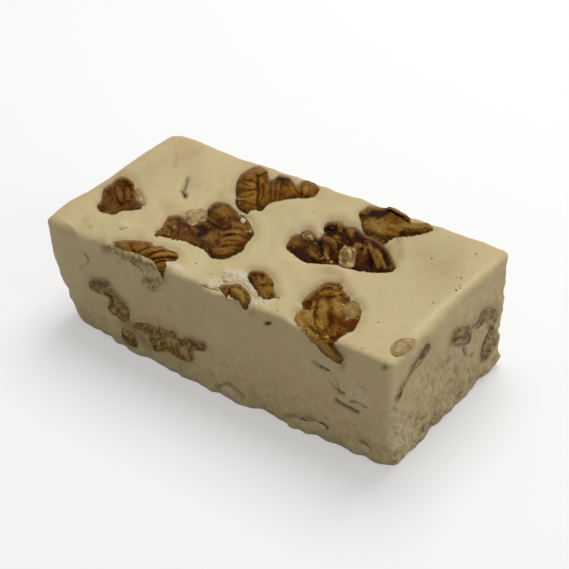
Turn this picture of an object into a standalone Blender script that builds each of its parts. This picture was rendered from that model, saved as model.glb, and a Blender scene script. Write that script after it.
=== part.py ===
"""Walnut fudge: a bar of pale fudge with pieces of walnut sunk in its top, front and end.

Units are metres and +Z is up.  The bar rests on z = 0 with its long side along X and its
front at -Y.  Places on the bar are written in millimetres: on the top as (x, y, height
above the top face), on the front as (x, z) and on the right end as (y, z).
"""
import math

import bmesh
import bpy
from mathutils import Matrix, Vector, noise

MM = 0.001

# The bar.
LENGTH = 110.0
WIDTH = 51.5
HEIGHT = 34.9
BASE_INSET = 2.1
EDGE_ROUND = 1.7
BELOW_BASE = 3.0
BLOCK_CELL = 1.15
BAR_TRIANGLES = 5500

# The walnut.
NUT_VOXEL = 0.45
NUT_SMOOTHING = 1
POCKET_GAP = 0.38
POCKET_VOXEL = 0.5
POCKET_TRIANGLES = 7000
FOLD_STEP = 0.45
WALL_PROUD = 0.2
PROUD_KEEP = 0.2

# Soft dips and swells of the top: x, y, reach, height.
TOP_SWELLS = (
    (-16.0, -4.0, 9.5, -1.0),
    (20.0, 6.0, 9.0, -1.1),
    (31.0, -15.5, 7.0, -0.9),
    (9.5, -17.0, 5.0, -0.7),
    (-46.5, -7.0, 6.5, -0.6),
    (-14.0, 14.0, 7.5, -0.7),
    (24.0, 18.5, 6.0, -0.6),
    (-16.0, -18.0, 4.0, 0.7),
    (18.0, -8.5, 5.0, 0.6),
    (-34.0, 6.0, 2.2, -0.7),
    (2.0, 12.0, 6.0, 0.5),
    (45.0, 8.0, 9.0, 0.4),
    (-33.0, 24.0, 6.0, -1.1),
    (-52.0, 20.0, 9.0, 0.7),
    (-36.0, -14.0, 5.0, 0.4),
    (4.0, -23.5, 4.0, -0.6),
)

# Bulges and dents of the front: x, z, reach along x, reach along z, outward.
FRONT_SWELLS = (
    (-34.0, 0.0, 8.0, 6.0, 2.0),
    (-10.0, 0.0, 9.0, 6.5, 2.6),
    (7.0, 0.0, 6.0, 5.5, 2.2),
    (25.0, 0.0, 5.5, 5.5, 1.9),
    (41.0, 0.0, 8.0, 5.0, 1.8),
    (46.0, 19.5, 3.6, 3.2, 0.8),
    (-46.5, 24.5, 3.0, 2.4, 0.5),
    (-38.0, 13.0, 7.0, 7.0, 0.5),
    (20.0, 31.0, 2.6, 2.0, -0.4),
    (38.0, 16.5, 5.0, 1.6, -0.5),
    (4.0, 17.0, 14.0, 9.0, -0.4),
)

# Bulges and dents of the right end: y, z, reach along y, reach along z, outward.
END_SWELLS = (
    (0.0, 17.0, 60.0, 60.0, 0.6),
    (18.0, 1.0, 7.0, 4.0, 0.4),
    (-22.0, 1.0, 8.0, 5.0, -0.6),
    (19.5, 10.0, 4.0, 5.0, 0.6),
    (-16.0, 25.0, 5.0, 2.0, -0.5),
    (5.0, 21.0, 4.0, 4.0, 0.3),
)

# Bulges and dents of the left end: y, z, reach along y, reach along z, outward.
LEFT_SWELLS = (
    (0.0, 17.0, 60.0, 60.0, 2.2),
    (-16.0, 33.0, 7.0, 4.5, 1.6),
    (-22.0, 16.0, 14.0, 12.0, 4.2),
    (12.0, 34.0, 14.0, 8.0, 1.5),
)

# Bulges and dents of the back: x, z, reach along x, reach along z, outward.
BACK_SWELLS = (
    (0.0, 17.0, 90.0, 90.0, 0.7),
    (-58.0, 34.0, 14.0, 12.0, 1.2),
    (54.0, 12.0, 3.0, 2.0, -1.3),
    (54.0, 28.0, 3.0, 2.5, -0.6),
    (54.0, 3.5, 3.0, 1.6, -1.3),
    (-20.0, 8.0, 12.0, 7.0, 1.0),
    (20.0, 4.0, 12.0, 6.0, 1.2),
)


def clear_scene():
    """Empty the file of everything that it opens with."""
    for thing in list(bpy.data.objects):
        bpy.data.objects.remove(thing, do_unlink=True)


def make_collection(name):
    """A collection linked to the scene."""
    made = bpy.data.collections.new(name)
    bpy.context.scene.collection.children.link(made)
    return made


def make_material(name, colour, roughness):
    """A plain opaque material."""
    made = bpy.data.materials.new(name)
    made.use_nodes = True
    shader = made.node_tree.nodes["Principled BSDF"]
    shader.inputs["Base Color"].default_value = (*colour, 1.0)
    shader.inputs["Roughness"].default_value = roughness
    shader.inputs["Metallic"].default_value = 0.0
    made.diffuse_color = (*colour, 1.0)
    return made


def add_object(name, mesh, collection):
    """An object for a mesh, linked to one collection."""
    made = bpy.data.objects.new(name, mesh)
    collection.objects.link(made)
    return made


def settle(thing):
    """Turn an object's modifiers into its mesh."""
    bpy.context.view_layer.update()
    graph = bpy.context.evaluated_depsgraph_get()
    mesh = bpy.data.meshes.new_from_object(thing.evaluated_get(graph))
    thing.modifiers.clear()
    old = thing.data
    thing.data = mesh
    bpy.data.meshes.remove(old)


def bell(distance, reach):
    """One at no distance, falling smoothly away to nothing."""
    return math.exp(-0.5 * (distance / reach) ** 2)


def wall_swell(swells, along, height):
    """How far a wall stands out at a place, from its bulges and dents."""
    total = 0.0
    for place, level, reach_along, reach_up, out in swells:
        total += out * bell(along - place, reach_along) * bell(height - level, reach_up)
    return total


def top_swell(x, y):
    """How high the top stands above its level at a place."""
    total = 0.0
    for centre_x, centre_y, reach, height in TOP_SWELLS:
        total += height * bell(math.hypot(x - centre_x, y - centre_y), reach)
    return total


def lumps(place, size, seed):
    """Smooth unevenness from -1 to 1 with bumps of about a given size."""
    return noise.noise(Vector(place) / size + Vector((seed, seed * 2.7, seed * 0.9)))


def corner_round(x, y, z):
    """The radius of the bar's edges: tight along the top, softer at the left foot."""
    left = bell(x + LENGTH / 2, 9.0)
    foot = bell(z, 11.0)
    front = 1.0 / (1.0 + math.exp((y + 6.0) / 4.0))
    back_left = left * (1.0 - front)
    return EDGE_ROUND + 1.6 * left * foot + 1.0 * back_left + 0.7 * foot


def place_on_bar(x, y, z):
    """Move a point of a plain box to its place on the soft, uneven bar."""
    radius = corner_round(x, y, z)
    inner = Vector((
        max(-LENGTH / 2 + radius, min(LENGTH / 2 - radius, x)),
        max(-WIDTH / 2 + radius, min(WIDTH / 2 - radius, y)),
        min(HEIGHT - radius, z),
    ))
    outward = Vector((x, y, z)) - inner
    if outward.length > 1e-6:
        outward.normalize()
    spot = inner + outward * radius
    inset = BASE_INSET * (1.0 - z / HEIGHT)
    spot.x *= 1.0 - inset / (LENGTH / 2)
    spot.y *= 1.0 - inset / (WIDTH / 2)
    low = 1.0 / (1.0 + math.exp((z - 9.0) / 3.0))
    rough = 0.3 * lumps(spot, 6.5, 3.0) + (0.15 + 0.9 * low) * lumps(spot, 3.6, 8.0)
    to_front = max(0.0, -outward.y)
    to_back = max(0.0, outward.y)
    to_right = max(0.0, outward.x)
    to_left = max(0.0, -outward.x)
    up = max(0.0, outward.z)
    spot.y -= to_front * (wall_swell(FRONT_SWELLS, x, z) + rough)
    spot.y += to_back * (wall_swell(BACK_SWELLS, x, z) + rough)
    spot.x += to_right * (wall_swell(END_SWELLS, y, z) + rough)
    spot.x -= to_left * (wall_swell(LEFT_SWELLS, y, z) + rough)
    spot.z += up * (top_swell(x, y) + 0.35 * lumps(spot, 13.0, 5.0))
    return spot


def front_wall(x, z):
    """The point of the bar's front surface at a place."""
    return Vector((x, place_on_bar(x, -WIDTH / 2, z).y, z))


def end_wall(y, z):
    """The point of the bar's right end at a place."""
    return Vector((place_on_bar(LENGTH / 2, y, z).x, y, z))


def slice_evenly(mesh, axis, low, high, cell):
    """Cut a solid into even slices across one axis."""
    count = max(1, round((high - low) / cell))
    direction = Vector((0.0, 0.0, 0.0))
    direction[axis] = 1.0
    for step in range(1, count):
        place = Vector((0.0, 0.0, 0.0))
        place[axis] = low + (high - low) * step / count
        everything = mesh.verts[:] + mesh.edges[:] + mesh.faces[:]
        bmesh.ops.bisect_plane(
            mesh, geom=everything, dist=1e-5, plane_co=place, plane_no=direction
        )


def trim_to_count(thing, triangles):
    """Thin a mesh to about a number of triangles, keeping its form."""
    thing.data.calc_loop_triangles()
    thin = thing.modifiers.new("thin", "DECIMATE")
    thin.decimate_type = "COLLAPSE"
    thin.ratio = min(1.0, triangles / len(thing.data.loop_triangles))
    thin.use_collapse_triangulate = True
    settle(thing)


def drop_flaps(mesh):
    """Remove loose triangles that hang on a closed surface by one edge."""
    rims = [edge for edge in mesh.edges if len(edge.link_faces) == 1]
    flaps = {edge.link_faces[0] for edge in rims}
    bmesh.ops.delete(mesh, geom=list(flaps), context="FACES")
    loose = [vert for vert in mesh.verts if not vert.link_faces]
    bmesh.ops.delete(mesh, geom=loose, context="VERTS")


def cut_base(thing):
    """Cut the bar off flat at z = 0 and close it with one flat face."""
    mesh = bmesh.new()
    mesh.from_mesh(thing.data)
    drop_flaps(mesh)
    everything = mesh.verts[:] + mesh.edges[:] + mesh.faces[:]
    cut = bmesh.ops.bisect_plane(
        mesh, geom=everything, dist=1e-7, plane_co=(0.0, 0.0, 0.0),
        plane_no=(0.0, 0.0, -1.0), clear_outer=True,
    )
    rim = [part for part in cut["geom_cut"] if isinstance(part, bmesh.types.BMEdge)]
    bmesh.ops.edgeloop_fill(mesh, edges=rim)
    for vert in mesh.verts:
        if abs(vert.co.z) < 1e-6:
            vert.co.z = 0.0
    bmesh.ops.recalc_face_normals(mesh, faces=mesh.faces)
    mesh.to_mesh(thing.data)
    mesh.free()


def make_bar(collection):
    """The fudge: a box sliced into a net, rounded and swollen, thinned and cut flat below."""
    mesh = bmesh.new()
    bmesh.ops.create_cube(mesh, size=1.0)
    tall = HEIGHT + BELOW_BASE
    bmesh.ops.scale(mesh, vec=(LENGTH, WIDTH, tall), verts=mesh.verts)
    bmesh.ops.translate(mesh, vec=(0.0, 0.0, HEIGHT - tall / 2), verts=mesh.verts)
    slice_evenly(mesh, 0, -LENGTH / 2, LENGTH / 2, BLOCK_CELL)
    slice_evenly(mesh, 1, -WIDTH / 2, WIDTH / 2, BLOCK_CELL)
    slice_evenly(mesh, 2, -BELOW_BASE, HEIGHT, BLOCK_CELL)
    for vert in mesh.verts:
        vert.co = place_on_bar(*vert.co) * MM
    data = bpy.data.meshes.new("fudge")
    mesh.to_mesh(data)
    mesh.free()
    return add_object("fudge", data, collection)


def add_lobe(mesh, place, radii, turn=0.0):
    """Add one rounded lobe to a piece; turn is about the vertical, in degrees."""
    ball = bmesh.ops.create_icosphere(mesh, subdivisions=3, radius=1.0)
    shape = Matrix.Diagonal((*radii, 1.0))
    spin = Matrix.Rotation(math.radians(turn), 4, "Z")
    move = Matrix.Translation(Vector(place)) @ spin @ shape
    bmesh.ops.transform(mesh, matrix=move, verts=ball["verts"])


def curve_through(points, step):
    """Points spaced evenly along a smooth line through the given ones."""
    path = [Vector(point) for point in points]
    path = [2 * path[0] - path[1]] + path + [2 * path[-1] - path[-2]]
    spots = []
    for a, b, c, d in zip(path, path[1:], path[2:], path[3:]):
        count = max(1, round((c - b).length / step))
        for index in range(count):
            t = index / count
            near = 2 * b + (c - a) * t
            bend = (2 * a - 5 * b + 4 * c - d) * t ** 2
            far = (3 * b - a - 3 * c + d) * t ** 3
            spots.append((near + bend + far) / 2)
    spots.append(path[-2])
    return spots


def add_fold(mesh, points, radius):
    """Add one rounded fold along a line: thick in the middle, slimmer at its ends."""
    spots = curve_through(points, FOLD_STEP * radius)
    for index, spot in enumerate(spots):
        along = index / max(1, len(spots) - 1)
        size = radius * (0.72 + 0.28 * math.sin(math.pi * along))
        ball = bmesh.ops.create_icosphere(mesh, subdivisions=2, radius=size)
        bmesh.ops.translate(mesh, vec=spot, verts=ball["verts"])


def fuse_nut(name, mesh, collection):
    """Fuse lobes and folds into one smooth solid."""
    bmesh.ops.scale(mesh, vec=(MM, MM, MM), verts=mesh.verts)
    data = bpy.data.meshes.new(name)
    mesh.to_mesh(data)
    mesh.free()
    nut = add_object(name, data, collection)
    fuse = nut.modifiers.new("fuse", "REMESH")
    fuse.mode = "VOXEL"
    fuse.voxel_size = NUT_VOXEL * MM
    soften = nut.modifiers.new("soften", "SMOOTH")
    soften.factor = 0.5
    soften.iterations = NUT_SMOOTHING
    settle(nut)
    return nut


def top_nut(name, lobes, folds, triangles, collection):
    """A piece of walnut in the top: lobes and folds placed above the top face."""
    mesh = bmesh.new()
    for (x, y, z), radii, turn in lobes:
        add_lobe(mesh, (x, y, HEIGHT + z), radii, turn)
    for points, radius in folds:
        add_fold(mesh, [(x, y, HEIGHT + z) for x, y, z in points], radius)
    nut = fuse_nut(name, mesh, collection)
    trim_to_count(nut, triangles)
    return nut


def wall_nut(name, wall, lobes, folds, triangles, collection):
    """A piece of walnut in a wall: each lobe or fold lies a little way under its surface."""
    mesh = bmesh.new()
    across = 1 if wall is front_wall else 0
    inward = 1.0 if wall is front_wall else -1.0
    for (along, z, depth), (wide, tall, deep) in lobes:
        spot = wall(along, z)
        spot[across] += inward * depth
        radii = (wide, deep, tall) if across == 1 else (deep, wide, tall)
        add_lobe(mesh, spot, radii)
    for points, radius, depth in folds:
        path = []
        for along, z in points:
            spot = wall(along, z)
            spot[across] += inward * depth
            path.append(spot)
        add_fold(mesh, path, radius)
    nut = fuse_nut(name, mesh, collection)
    for vert in nut.data.vertices:
        spot = vert.co / MM
        surface = wall(spot[1 - across], spot.z)[across]
        proud = inward * (surface - spot[across]) - WALL_PROUD
        if proud > 0.0:
            vert.co[across] += inward * proud * (1.0 - PROUD_KEEP) * MM
    trim_to_count(nut, triangles)
    return nut


def nut_left(collection):
    """A broken quarter at the left: an arched fold with ridges under it and lobes in front."""
    lobes = (
        ((-46.4, -6.8, -1.9), (7.2, 5.2, 2.8), -38.0),
        ((-45.6, -11.4, -1.6), (3.6, 2.8, 2.2), 0.0),
        ((-47.4, -12.2, -0.7), (1.9, 1.8, 1.5), 0.0),
        ((-44.2, -12.4, -0.8), (2.0, 1.7, 1.5), 0.0),
    )
    folds = (
        (((-44.6, -10.2, 0.5), (-48.4, -6.8, 1.0), (-50.8, -3.0, 1.1), (-48.7, -1.6, 1.3),
          (-45.4, -3.4, 1.3), (-41.9, -7.0, 0.5)), 1.15),
        (((-48.4, -4.5, 0.3), (-43.8, -9.0, 0.3)), 0.85),
        (((-46.9, -3.9, 0.4), (-42.6, -8.2, 0.2)), 0.8),
        (((-51.4, -4.0, -0.2), (-51.0, -8.4, -0.3), (-48.9, -11.6, -0.4)), 1.6),
        (((-42.2, -10.0, -0.5), (-38.9, -8.6, -0.9)), 1.5),
    )
    return top_nut("nut_left", lobes, folds, 620, collection)


def nut_middle(collection):
    """The largest piece: a smooth round lobe, a low left lobe and ribbed lobes at the right."""
    lobes = (
        ((-20.6, -10.6, -2.0), (7.0, 4.2, 2.6), 4.0),
        ((-8.8, -7.0, -2.0), (6.9, 7.4, 2.9), 0.0),
        ((-15.6, -1.4, -2.2), (5.4, 5.4, 3.0), 0.0),
        ((-25.0, -10.6, -1.2), (3.1, 3.9, 2.1), 15.0),
        ((-16.4, 0.9, -1.4), (4.3, 4.1, 2.9), 0.0),
        ((-12.4, -8.6, -1.9), (4.2, 4.2, 2.5), 0.0),
        ((-19.4, -12.2, -1.5), (3.6, 2.4, 1.9), 0.0),
        ((-22.2, -4.9, -1.0), (2.4, 2.0, 1.9), 20.0),
        ((-19.6, -6.6, -2.0), (3.0, 2.8, 2.0), 0.0),
    )
    folds = (
        (((-27.6, -8.4, -0.5), (-27.7, -11.6, -0.6), (-25.6, -14.2, -0.9)), 1.2),
        (((-23.0, -14.0, -1.0), (-18.4, -13.0, -0.9), (-13.0, -12.8, -1.0)), 1.5),
        (((-12.2, -1.4, -0.4), (-9.0, -2.2, 0.4), (-5.4, -1.6, -0.5)), 1.5),
        (((-10.8, -5.3, -0.4), (-7.0, -5.8, 0.5), (-3.6, -5.2, -0.5)), 1.6),
        (((-8.9, -9.6, -0.4), (-6.0, -9.6, 0.4), (-3.0, -8.6, -0.6)), 1.45),
        (((-8.8, -13.0, -0.7), (-5.8, -12.9, 0.0), (-3.3, -12.0, -0.6)), 1.5),
        (((-9.4, 1.2, -0.7), (-5.8, -0.2, -0.9), (-3.2, -4.0, -1.1), (-2.7, -9.0, -1.2)), 1.1),
        (((-20.4, -8.6, -0.6), (-21.8, -12.0, -0.3)), 1.1),
    )
    return top_nut("nut_middle", lobes, folds, 1080, collection)


def nut_back(collection):
    """A half at the back edge: a ribbed dome, a creased wing and a pale lobe at its tip."""
    lobes = (
        ((-15.2, 12.6, -1.8), (5.8, 7.6, 2.9), 22.0),
        ((-9.8, 16.6, -1.8), (6.2, 4.8, 2.7), 10.0),
        ((-19.2, 16.8, -0.9), (4.0, 4.6, 2.9), 0.0),
        ((-15.0, 9.2, -1.3), (3.5, 3.4, 2.4), 0.0),
        ((-15.4, 17.4, -0.9), (2.4, 3.4, 1.8), 0.0),
        ((-4.2, 20.9, -0.6), (3.0, 2.2, 1.9), 15.0),
    )
    folds = (
        (((-22.4, 14.6, 0.0), (-19.6, 13.3, 1.2), (-16.6, 13.4, 1.0)), 1.15),
        (((-22.8, 17.4, 0.3), (-19.6, 16.4, 2.0), (-16.3, 16.5, 1.5)), 1.15),
        (((-21.9, 20.2, 0.3), (-19.4, 19.7, 1.7), (-16.4, 19.5, 1.3)), 1.2),
        (((-18.6, 10.6, -0.3), (-16.2, 7.6, -0.4), (-13.0, 6.6, -0.6)), 1.2),
        (((-14.4, 19.8, 0.7), (-13.0, 14.6, 0.4), (-12.0, 9.2, -0.4)), 0.95),
        (((-12.0, 20.4, 1.0), (-10.9, 15.4, 0.4), (-10.2, 10.2, -0.6)), 0.95),
        (((-9.6, 20.4, 0.8), (-8.9, 15.8, 0.1), (-8.9, 12.6, -0.6)), 0.95),
        (((-9.0, 18.6, 0.2), (-6.4, 19.2, 0.2), (-3.8, 20.4, 0.2)), 1.6),
        (((-13.4, 20.4, 0.8), (-11.8, 21.2, 1.4), (-9.6, 21.0, 1.0), (-7.6, 19.8, 0.3)), 0.8),
        (((-5.6, 21.9, 0.6), (-2.0, 22.2, 0.5)), 0.9),
    )
    return top_nut("nut_back", lobes, folds, 980, collection)


def nut_cluster(collection):
    """A sunken heap of curled bits and lobes, right of the middle."""
    lobes = (
        ((13.0, 2.4, -2.9), (8.2, 6.2, 2.6), 0.0),
        ((26.0, 5.6, -2.9), (8.8, 5.4, 2.6), -4.0),
        ((15.6, 8.6, -2.8), (5.6, 4.8, 2.4), 0.0),
        ((8.2, 0.6, -1.6), (2.7, 3.4, 1.8), 20.0),
        ((9.4, 4.3, -0.6), (1.5, 1.5, 1.5), 0.0),
        ((13.4, -1.0, -1.7), (3.6, 2.5, 1.7), -15.0),
        ((18.0, 10.4, -1.3), (2.2, 2.2, 1.5), 0.0),
        ((21.4, 3.4, -1.1), (2.4, 3.0, 1.8), 0.0),
        ((21.0, 5.2, -0.3), (1.7, 1.3, 0.9), 0.0),
        ((22.2, 8.0, -0.8), (1.9, 1.9, 1.3), 0.0),
        ((25.4, 3.2, -1.7), (2.0, 3.2, 1.7), 15.0),
        ((23.2, 10.8, -2.0), (4.0, 1.5, 1.2), -5.0),
        ((33.0, 5.4, -1.5), (1.9, 2.0, 1.5), 0.0),
    )
    folds = (
        (((12.4, 0.8, -0.5), (15.2, -1.4, -0.7), (17.4, -2.2, -1.2)), 1.0),
        (((10.8, 9.2, -0.3), (10.9, 11.4, 0.1), (13.0, 12.3, 0.1), (14.6, 10.4, -0.2)), 1.15),
        (((13.0, 6.8, 0.0), (14.6, 4.9, 0.6), (17.0, 2.2, 0.2), (18.4, -0.3, -0.8)), 1.3),
        (((15.4, 7.4, 0.1), (17.4, 4.7, 0.5), (19.0, 1.8, -0.2)), 1.0),
        (((24.2, 9.2, -0.3), (25.8, 7.4, 0.2), (27.4, 4.6, -0.3)), 1.05),
        (((27.6, 8.2, -0.3), (30.0, 5.4, 0.1), (32.6, 3.1, -0.6)), 1.5),
        (((26.2, 10.0, -0.8), (29.2, 8.8, -0.6), (32.2, 6.6, -0.9)), 1.1),
        (((22.0, 0.6, -1.5), (26.4, 1.2, -1.6), (30.6, 1.8, -1.7)), 1.2),
    )
    return top_nut("nut_cluster", lobes, folds, 1180, collection)


def nut_back_right(collection):
    """A tan piece at the back edge: a low dome with a thin rim and a tail to the right."""
    lobes = (
        ((22.0, 18.4, -1.8), (6.6, 4.6, 2.7), 8.0),
        ((21.4, 19.2, -0.9), (5.6, 3.9, 2.5), 10.0),
        ((27.0, 17.0, -1.0), (2.2, 2.2, 1.8), 0.0),
        ((33.0, 22.0, -0.4), (1.7, 1.6, 1.4), 0.0),
    )
    folds = (
        (((16.6, 17.2, -0.2), (15.8, 19.3, 0.5), (17.2, 21.4, 1.0), (20.8, 22.5, 1.3),
          (24.8, 22.6, 1.2)), 0.9),
        (((25.2, 22.2, 1.0), (28.4, 21.2, 0.6)), 1.1),
        (((26.0, 19.2, 0.0), (29.6, 20.2, 0.2), (33.0, 21.9, 0.1)), 1.5),
        (((18.2, 16.2, -0.6), (22.0, 15.5, -0.5), (26.0, 15.6, -0.7)), 1.3),
    )
    return top_nut("nut_back_right", lobes, folds, 620, collection)


def nut_front_left(collection):
    """A piece at the front edge: fanned folds above and a pale fibrous edge on the front."""
    lobes = (
        ((-25.0, -22.6, -2.0), (10.8, 2.9, 2.8), 4.0),
        ((-25.6, -22.0, -0.7), (3.1, 2.0, 1.8), 35.0),
        ((-15.2, -24.2, -1.0), (1.9, 1.7, 1.5), 0.0),
        ((-19.4, -24.7, -5.2), (2.6, 1.2, 2.2), 0.0),
    )
    folds = (
        (((-32.2, -23.6, -0.4), (-29.6, -22.9, 0.0), (-27.4, -24.2, 0.0)), 1.25),
        (((-22.9, -24.5, 0.0), (-21.7, -21.9, 0.6), (-18.9, -20.2, 0.2)), 1.15),
        (((-20.0, -24.8, 0.0), (-18.4, -22.2, 0.7), (-15.6, -20.2, 0.2)), 1.15),
        (((-17.4, -25.0, -0.1), (-16.1, -23.0, 0.5), (-14.6, -21.7, 0.0)), 1.1),
        (((-37.2, -24.6, -1.4), (-31.0, -25.1, -0.9), (-24.0, -25.2, -1.1),
          (-18.4, -25.1, -1.9), (-15.4, -24.9, -3.4)), 1.15),
        (((-35.0, -24.6, -3.2), (-28.0, -25.0, -3.0), (-22.0, -25.0, -3.6),
          (-17.6, -24.9, -4.8)), 1.2),
    )
    return top_nut("nut_front_left", lobes, folds, 780, collection)


def nut_bit_right(collection):
    """A thick oval chip by the front edge, with a raised rim on its far side."""
    lobes = (
        ((11.6, -17.6, -1.3), (6.3, 3.3, 2.3), -38.0),
        ((13.4, -19.0, -0.6), (3.6, 2.5, 1.4), -38.0),
    )
    folds = (
        (((6.9, -15.6, -0.3), (8.2, -14.2, 0.4), (11.4, -15.1, 0.5), (14.2, -17.2, 0.1)), 0.95),
    )
    return top_nut("nut_bit_right", lobes, folds, 300, collection)


def nut_bit_edge(collection):
    """A small bit that hangs over the front edge."""
    lobes = (
        ((11.2, -24.6, -1.9), (1.8, 1.6, 2.0), 0.0),
        ((7.6, -23.2, -1.6), (3.2, 1.6, 1.6), 0.0),
        ((9.8, -24.0, -1.6), (2.6, 1.5, 1.7), 0.0),
    )
    folds = (
        (((4.2, -24.2, -1.4), (7.0, -23.2, -0.6), (10.4, -23.8, -0.7), (12.0, -25.4, -2.2)), 1.2),
        (((6.2, -24.2, -1.2), (7.0, -25.2, -2.2)), 0.85),
    )
    return top_nut("nut_bit_edge", lobes, folds, 280, collection)


def nut_front_right(collection):
    """A half at the front edge: layered flakes, a ridged dome and a tail down the front."""
    lobes = (
        ((32.2, -16.4, -2.0), (8.0, 7.6, 2.9), 0.0),
        ((33.0, -17.4, -1.1), (5.2, 5.2, 2.7), 0.0),
        ((26.9, -13.9, -1.3), (2.6, 3.2, 1.9), 0.0),
        ((38.0, -18.6, -1.1), (2.4, 3.9, 2.0), 0.0),
        ((36.7, -14.6, -0.4), (2.1, 2.0, 1.4), 0.0),
        ((33.2, -22.2, -1.5), (4.8, 2.8, 2.2), -12.0),
        ((38.2, -22.2, -1.6), (2.2, 2.6, 1.9), 0.0),
    )
    folds = (
        (((25.4, -10.9, -0.6), (27.4, -9.9, 0.0), (30.4, -10.4, 0.1)), 1.0),
        (((25.8, -13.0, -0.2), (28.4, -12.2, 0.6), (31.8, -12.4, 0.6)), 1.0),
        (((26.8, -19.2, -0.6), (28.4, -21.4, -0.4), (32.0, -23.8, -0.5)), 1.15),
        (((27.2, -22.2, -1.3), (29.8, -24.4, -1.5), (34.0, -25.2, -2.0)), 1.15),
        (((28.6, -15.6, 0.5), (31.5, -19.2, 1.2), (34.2, -23.0, 0.2)), 1.1),
        (((31.4, -14.6, 1.0), (35.0, -18.0, 1.3), (37.0, -22.0, 0.2)), 1.0),
        (((34.4, -24.6, -1.4), (36.8, -25.3, -3.0), (39.0, -25.3, -4.6)), 1.5),
    )
    return top_nut("nut_front_right", lobes, folds, 900, collection)


def nut_front_hook(collection):
    """A hooked piece in the front, seen through the fudge."""
    folds = (
        (((-44.6, 16.6), (-42.0, 18.2), (-38.6, 18.9), (-35.6, 17.0), (-34.2, 13.6),
          (-34.4, 9.8), (-36.2, 7.2)), 2.2, 1.0),
        (((-42.4, 16.4), (-38.8, 15.6), (-37.9, 12.6), (-38.6, 9.6)), 1.7, 0.9),
    )
    return wall_nut("nut_front_hook", front_wall, (), folds, 330, collection)


def nut_front_low(collection):
    """A small piece low in the front."""
    lobes = (
        ((-29.4, 8.2, 1.0), (3.4, 2.8, 2.3)),
        ((-26.2, 9.0, 1.0), (2.7, 2.5, 2.1)),
    )
    folds = ((((-25.6, 8.0), (-25.0, 5.6), (-24.6, 4.0)), 1.3, 0.7),)
    return wall_nut("nut_front_low", front_wall, lobes, folds, 180, collection)


def nut_front_band(collection):
    """A long lobed piece low in the front, with an arm to the right."""
    lobes = (
        ((-18.2, 9.0, 1.2), (3.9, 4.2, 2.6)),
        ((-14.6, 7.6, 1.2), (3.8, 5.0, 2.6)),
        ((-20.4, 6.4, 0.9), (2.0, 3.0, 2.0)),
        ((-13.2, 4.6, 1.0), (2.6, 2.5, 2.2)),
    )
    folds = ((((-13.6, 11.0), (-9.8, 12.3), (-6.6, 12.4)), 1.5, 0.8),)
    return wall_nut("nut_front_band", front_wall, lobes, folds, 300, collection)


def nut_front_base(collection):
    """A dark bit by the base of the front."""
    lobes = (
        ((-35.6, 3.2, 1.0), (2.9, 2.6, 2.1)),
        ((-32.2, 3.2, 1.0), (2.6, 2.6, 2.1)),
    )
    return wall_nut("nut_front_base", front_wall, lobes, (), 130, collection)


def nut_end_middle(collection):
    """A slanting piece in the middle of the right end."""
    folds = (
        (((2.0, 23.2), (4.2, 22.0), (6.4, 20.2)), 2.0, 0.8),
        (((6.2, 20.2), (8.6, 18.0)), 1.6, 0.7),
    )
    return wall_nut("nut_end_middle", end_wall, (), folds, 180, collection)


def nut_end_high(collection):
    """A small bit near the back of the right end."""
    lobes = (
        ((12.6, 21.2, 0.9), (2.3, 1.6, 1.5)),
        ((15.0, 20.6, 1.0), (2.0, 1.7, 1.5)),
    )
    return wall_nut("nut_end_high", end_wall, lobes, (), 120, collection)


def nut_end_edge(collection):
    """A lobed piece at the back edge of the right end."""
    lobes = (
        ((17.0, 8.2, 1.4), (2.2, 3.8, 2.2)),
        ((20.6, 9.4, 1.5), (2.4, 3.4, 2.4)),
        ((20.4, 17.2, 1.5), (2.4, 2.2, 2.2)),
    )
    folds = ((((19.8, 11.4), (20.6, 14.4), (20.6, 17.0)), 1.3, 1.3),)
    return wall_nut("nut_end_edge", end_wall, lobes, folds, 260, collection)


def nut_end_skin(collection):
    """A sliver of walnut skin that runs down the right end from near the top."""
    folds = (
        (((-9.8, 28.6), (-12.8, 27.6), (-16.6, 26.2), (-19.4, 23.6), (-22.0, 22.3)), 1.0, 0.5),
    )
    return wall_nut("nut_end_skin", end_wall, (), folds, 150, collection)


def make_pocket_cutter(nuts, collection):
    """One cutter for every pocket: the pieces a little larger, fused and thinned."""
    mesh = bmesh.new()
    for nut in nuts:
        grown = nut.data.copy()
        skin = [vert.co + vert.normal * POCKET_GAP * MM for vert in grown.vertices]
        for vert, place in zip(grown.vertices, skin):
            vert.co = place
        mesh.from_mesh(grown)
        bpy.data.meshes.remove(grown)
    data = bpy.data.meshes.new("pockets")
    mesh.to_mesh(data)
    mesh.free()
    cutter = add_object("pockets", data, collection)
    fuse = cutter.modifiers.new("fuse", "REMESH")
    fuse.mode = "VOXEL"
    fuse.voxel_size = POCKET_VOXEL * MM
    settle(cutter)
    trim_to_count(cutter, POCKET_TRIANGLES)
    cutter.hide_render = True
    cutter.display_type = "WIRE"
    return cutter


def set_on_origin(things, bar):
    """Slide everything along the ground so that the bar's middle is over the origin."""
    low = Vector(map(min, zip(*(vert.co for vert in bar.data.vertices))))
    high = Vector(map(max, zip(*(vert.co for vert in bar.data.vertices))))
    middle = (low + high) / 2
    for thing in things:
        thing.data.transform(Matrix.Translation((-middle.x, -middle.y, 0.0)))
    return middle


def cut_pockets(bar, cutter):
    """Take the pockets out of the bar, thin it and cut its base flat."""
    cut = bar.modifiers.new("pockets", "BOOLEAN")
    cut.operation = "DIFFERENCE"
    cut.solver = "EXACT"
    cut.object = cutter
    settle(bar)
    trim_to_count(bar, BAR_TRIANGLES)
    cut_base(bar)


clear_scene()
parts = make_collection("walnut_fudge")
cutters = make_collection("cutters")
fudge_cream = make_material("fudge_cream", (0.62, 0.52, 0.35), 0.5)
walnut_brown = make_material("walnut_brown", (0.19, 0.085, 0.025), 0.45)
walnut_veiled = make_material("walnut_veiled", (0.26, 0.17, 0.08), 0.5)

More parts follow.
